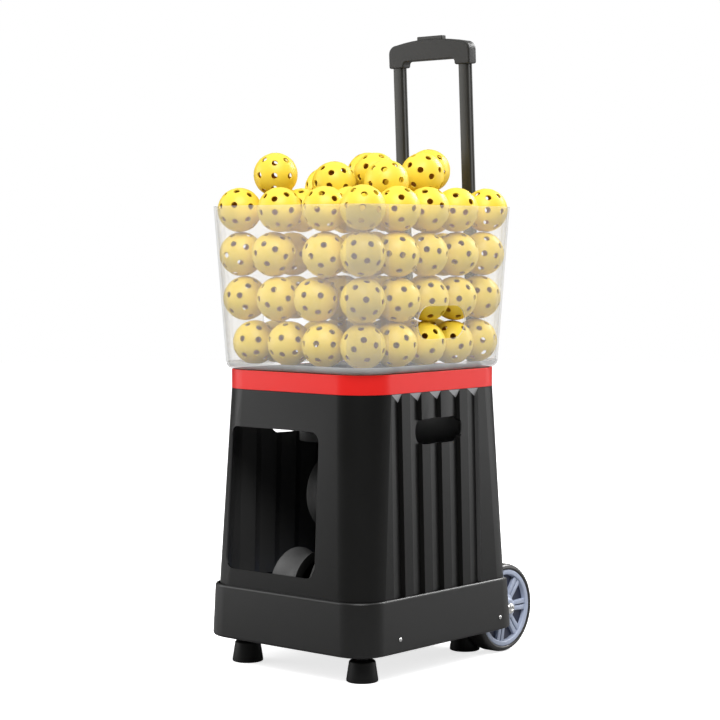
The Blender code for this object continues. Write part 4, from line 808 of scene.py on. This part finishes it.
# plates, housings and small parts keep their CAD shapes, with their edges taken off
trimmed = {
    "head_plate": ("launch_head", "zinc_plate", "blackZinc", 0.0006),
    "sweep_yoke": ("sweep", "zinc_plate", "blackZinc", 0.0006),
    "ball_guide": ("launch_head", "black_plastic", "insideBlack", 0.0006),
    "drop_chute": ("sweep", "black_plastic", "insideBlack", 0.0006),
    "swivel_ring": ("sweep", "white_plastic", "plainWhite", 0.0005),
    "swivel_retainer": ("chassis", "black_plastic", "insideBlack", 0.0006),
    "feeder_pan": ("chassis", "black_plastic", "insideBlack", 0.0006),
    "feeder_rotor": ("feeder", "white_plastic", "plainWhite", 0.0010),
    "feeder_motor": ("chassis", "motor_metal", "motorGrey", 0.0008),
    "sweep_motor": ("chassis", "motor_metal", "motorGrey", 0.0008),
    "elevation_motor": ("sweep", "motor_metal", "motorGrey", 0.0008),
    "throw_motor_upper": ("launch_head", "motor_metal", "motorGrey", 0.0010),
    "throw_motor_lower": ("launch_head", "motor_metal", "motorGrey", 0.0010),
    "sweep_drive_wheel": ("sweep_drive", "throw_rubber", "treadRubber", 0.0008),
    "pivot_bush": ("launch_head", "steel", "boltSteel", 0.0003),
    "chassis_pan": ("chassis", "zinc_plate", "zincSheet", 0.0004),
    "wheel_axle": ("chassis", "steel", "boltSteel", 0.0006),
    "axle_bracket_left": ("chassis", "zinc_plate", "zincSheet", 0.0006),
    "axle_bracket_right": ("chassis", "zinc_plate", "zincSheet", 0.0006),
    "battery": ("chassis", "battery_plastic", "batteryBlue", 0.0012),
    "controller_box": ("chassis", "black_plastic", "gripBlack", 0.0008),
    "control_panel": ("chassis", "black_plastic", "gripBlack", 0.0010),
    "charge_socket": ("chassis", "black_plastic", "footRubber", 0.0004),
    "power_switch": ("power_rocker", "red_plastic", "bandRed", 0.0004),
    "foot_stem_front_left": ("chassis", "zinc_plate", "blackZinc", 0.0005),
    "foot_stem_front_right": ("chassis", "zinc_plate", "blackZinc", 0.0005),
    "foot_stem_rear_left": ("chassis", "zinc_plate", "blackZinc", 0.0005),
    "foot_stem_rear_right": ("chassis", "zinc_plate", "blackZinc", 0.0005),
}
for node, (body, slotName, material, edge) in trimmed.items():
    shape = cadCopy(node)
    softenEdges(shape, edge, 40)
    levelShading(finishPiece(node + "_trimmed", shape, body, [material], [node]))
print("launch head, feeder and electrics done")


# floor, lights and camera
studioLook = {
    "domeLow": 0.07, "domeHigh": 1.10, "domeStart": 0.30, "domeFull": 0.85,
    "floorColour": (0.90, 0.90, 0.90), "floorGlow": 0.76, "floorBounce": 0.30,
    "left": {"spot": (-2.70, -1.75, 1.20), "size": (2.6, 2.4), "power": 58.0},
    "rear": {"spot": (1.70, 2.60, 1.20), "size": (2.6, 2.4), "power": 40.0},
    "front": {"spot": (1.35, -1.60, 2.90), "size": (1.8, 1.8), "power": 96.0},
    "glint": {"spot": (0.55, 2.90, 2.50), "size": (1.5, 0.9), "power": 80.0},
}


def lamp(name):
    look = studioLook[name]
    light = bpy.data.lights.new(name + "Light", "AREA")
    light.shape = "RECTANGLE"
    light.size, light.size_y = look["size"]
    light.energy = look["power"]
    holder = bpy.data.objects.new(name + "Light", light)
    holder.location = look["spot"]
    holder.rotation_euler = (Vector((0.0, 0.0, 0.45)) - Vector(look["spot"])).to_track_quat("-Z",
                                                                                            "Y").to_euler()
    holder.visible_camera = False
    bpy.context.scene.collection.objects.link(holder)


# the dome is bright overhead and dark round the horizon, so that upright black faces stay deep
def dome():
    world = bpy.data.worlds.new("studio")
    bpy.context.scene.world = world
    world.use_nodes = True
    graph = Graph(world.node_tree)
    spot = graph.add("ShaderNodeTexCoord", out="Generated")
    height = graph.add("ShaderNodeSeparateXYZ", None, {"Vector": spot}, "Z")
    light = graph.add("ShaderNodeMapRange", {"interpolation_type": "SMOOTHSTEP"}, {
        "Value": height, "From Min": studioLook["domeStart"], "From Max": studioLook["domeFull"],
        "To Min": studioLook["domeLow"], "To Max": studioLook["domeHigh"]})
    unseen = graph.add("ShaderNodeBackground", None, {"Strength": light})
    seen = graph.add("ShaderNodeBackground", None, {"Color": (1.0, 1.0, 1.0, 1.0), "Strength": 1.0})
    direct = graph.add("ShaderNodeLightPath", out="Is Camera Ray")
    choice = graph.add("ShaderNodeMixShader", None, {0: direct, 1: unseen, 2: seen})
    graph.feed(world.node_tree.nodes["World Output"].inputs["Surface"], choice)


def paperFloor():
    bm = bmesh.new()
    bmesh.ops.create_circle(bm, cap_ends=True, segments=96, radius=9.0)
    mesh = bpy.data.meshes.new("floor")
    bm.to_mesh(mesh)
    bm.free()
    paper = Finish("floorPaper")
    cloud = paper.noise(1.5, 2.0)
    paper.wear({"Base Color": paper.mix(cloud, studioLook["floorColour"], (0.92, 0.92, 0.92)),
                "Roughness": 0.8, "Specular IOR Level": 0.1,
                "Emission Color": (1.0, 1.0, 1.0, 1.0), "Emission Strength": studioLook["floorGlow"]})
    shade = studioLook["floorBounce"]
    dull = paper.add("ShaderNodeBsdfDiffuse", None, {"Color": (shade, shade, shade, 1.0)})
    direct = paper.add("ShaderNodeLightPath", out="Is Camera Ray")
    choice = paper.add("ShaderNodeMixShader", None,
                       {0: direct, 1: dull, 2: Amount(paper.tree, paper.shader.outputs[0])})
    paper.feed(paper.tree.nodes["Material Output"].inputs["Surface"], choice)
    mesh.materials.append(paper.material)
    floor = bpy.data.objects.new("floor", mesh)
    bpy.context.scene.collection.objects.link(floor)


def studio():
    for name in ("left", "rear", "front", "glint"):
        lamp(name)
    dome()
    paperFloor()


cameraLook = {"spot": (2.2765, -2.6780, 0.7027), "turn": 40.77, "tilt": -3.18, "lens": 102.95}


def camera():
    eye = bpy.data.cameras.new("camera")
    eye.lens = cameraLook["lens"]
    eye.sensor_width = 36.0
    holder = bpy.data.objects.new("camera", eye)
    holder.location = cameraLook["spot"]
    holder.rotation_euler = (math.radians(90 + cameraLook["tilt"]), 0.0, math.radians(cameraLook["turn"]))
    bpy.context.scene.collection.objects.link(holder)
    bpy.context.scene.camera = holder


studio()
camera()
bpy.context.scene.view_settings.view_transform = "Standard"

print("visual model ready")
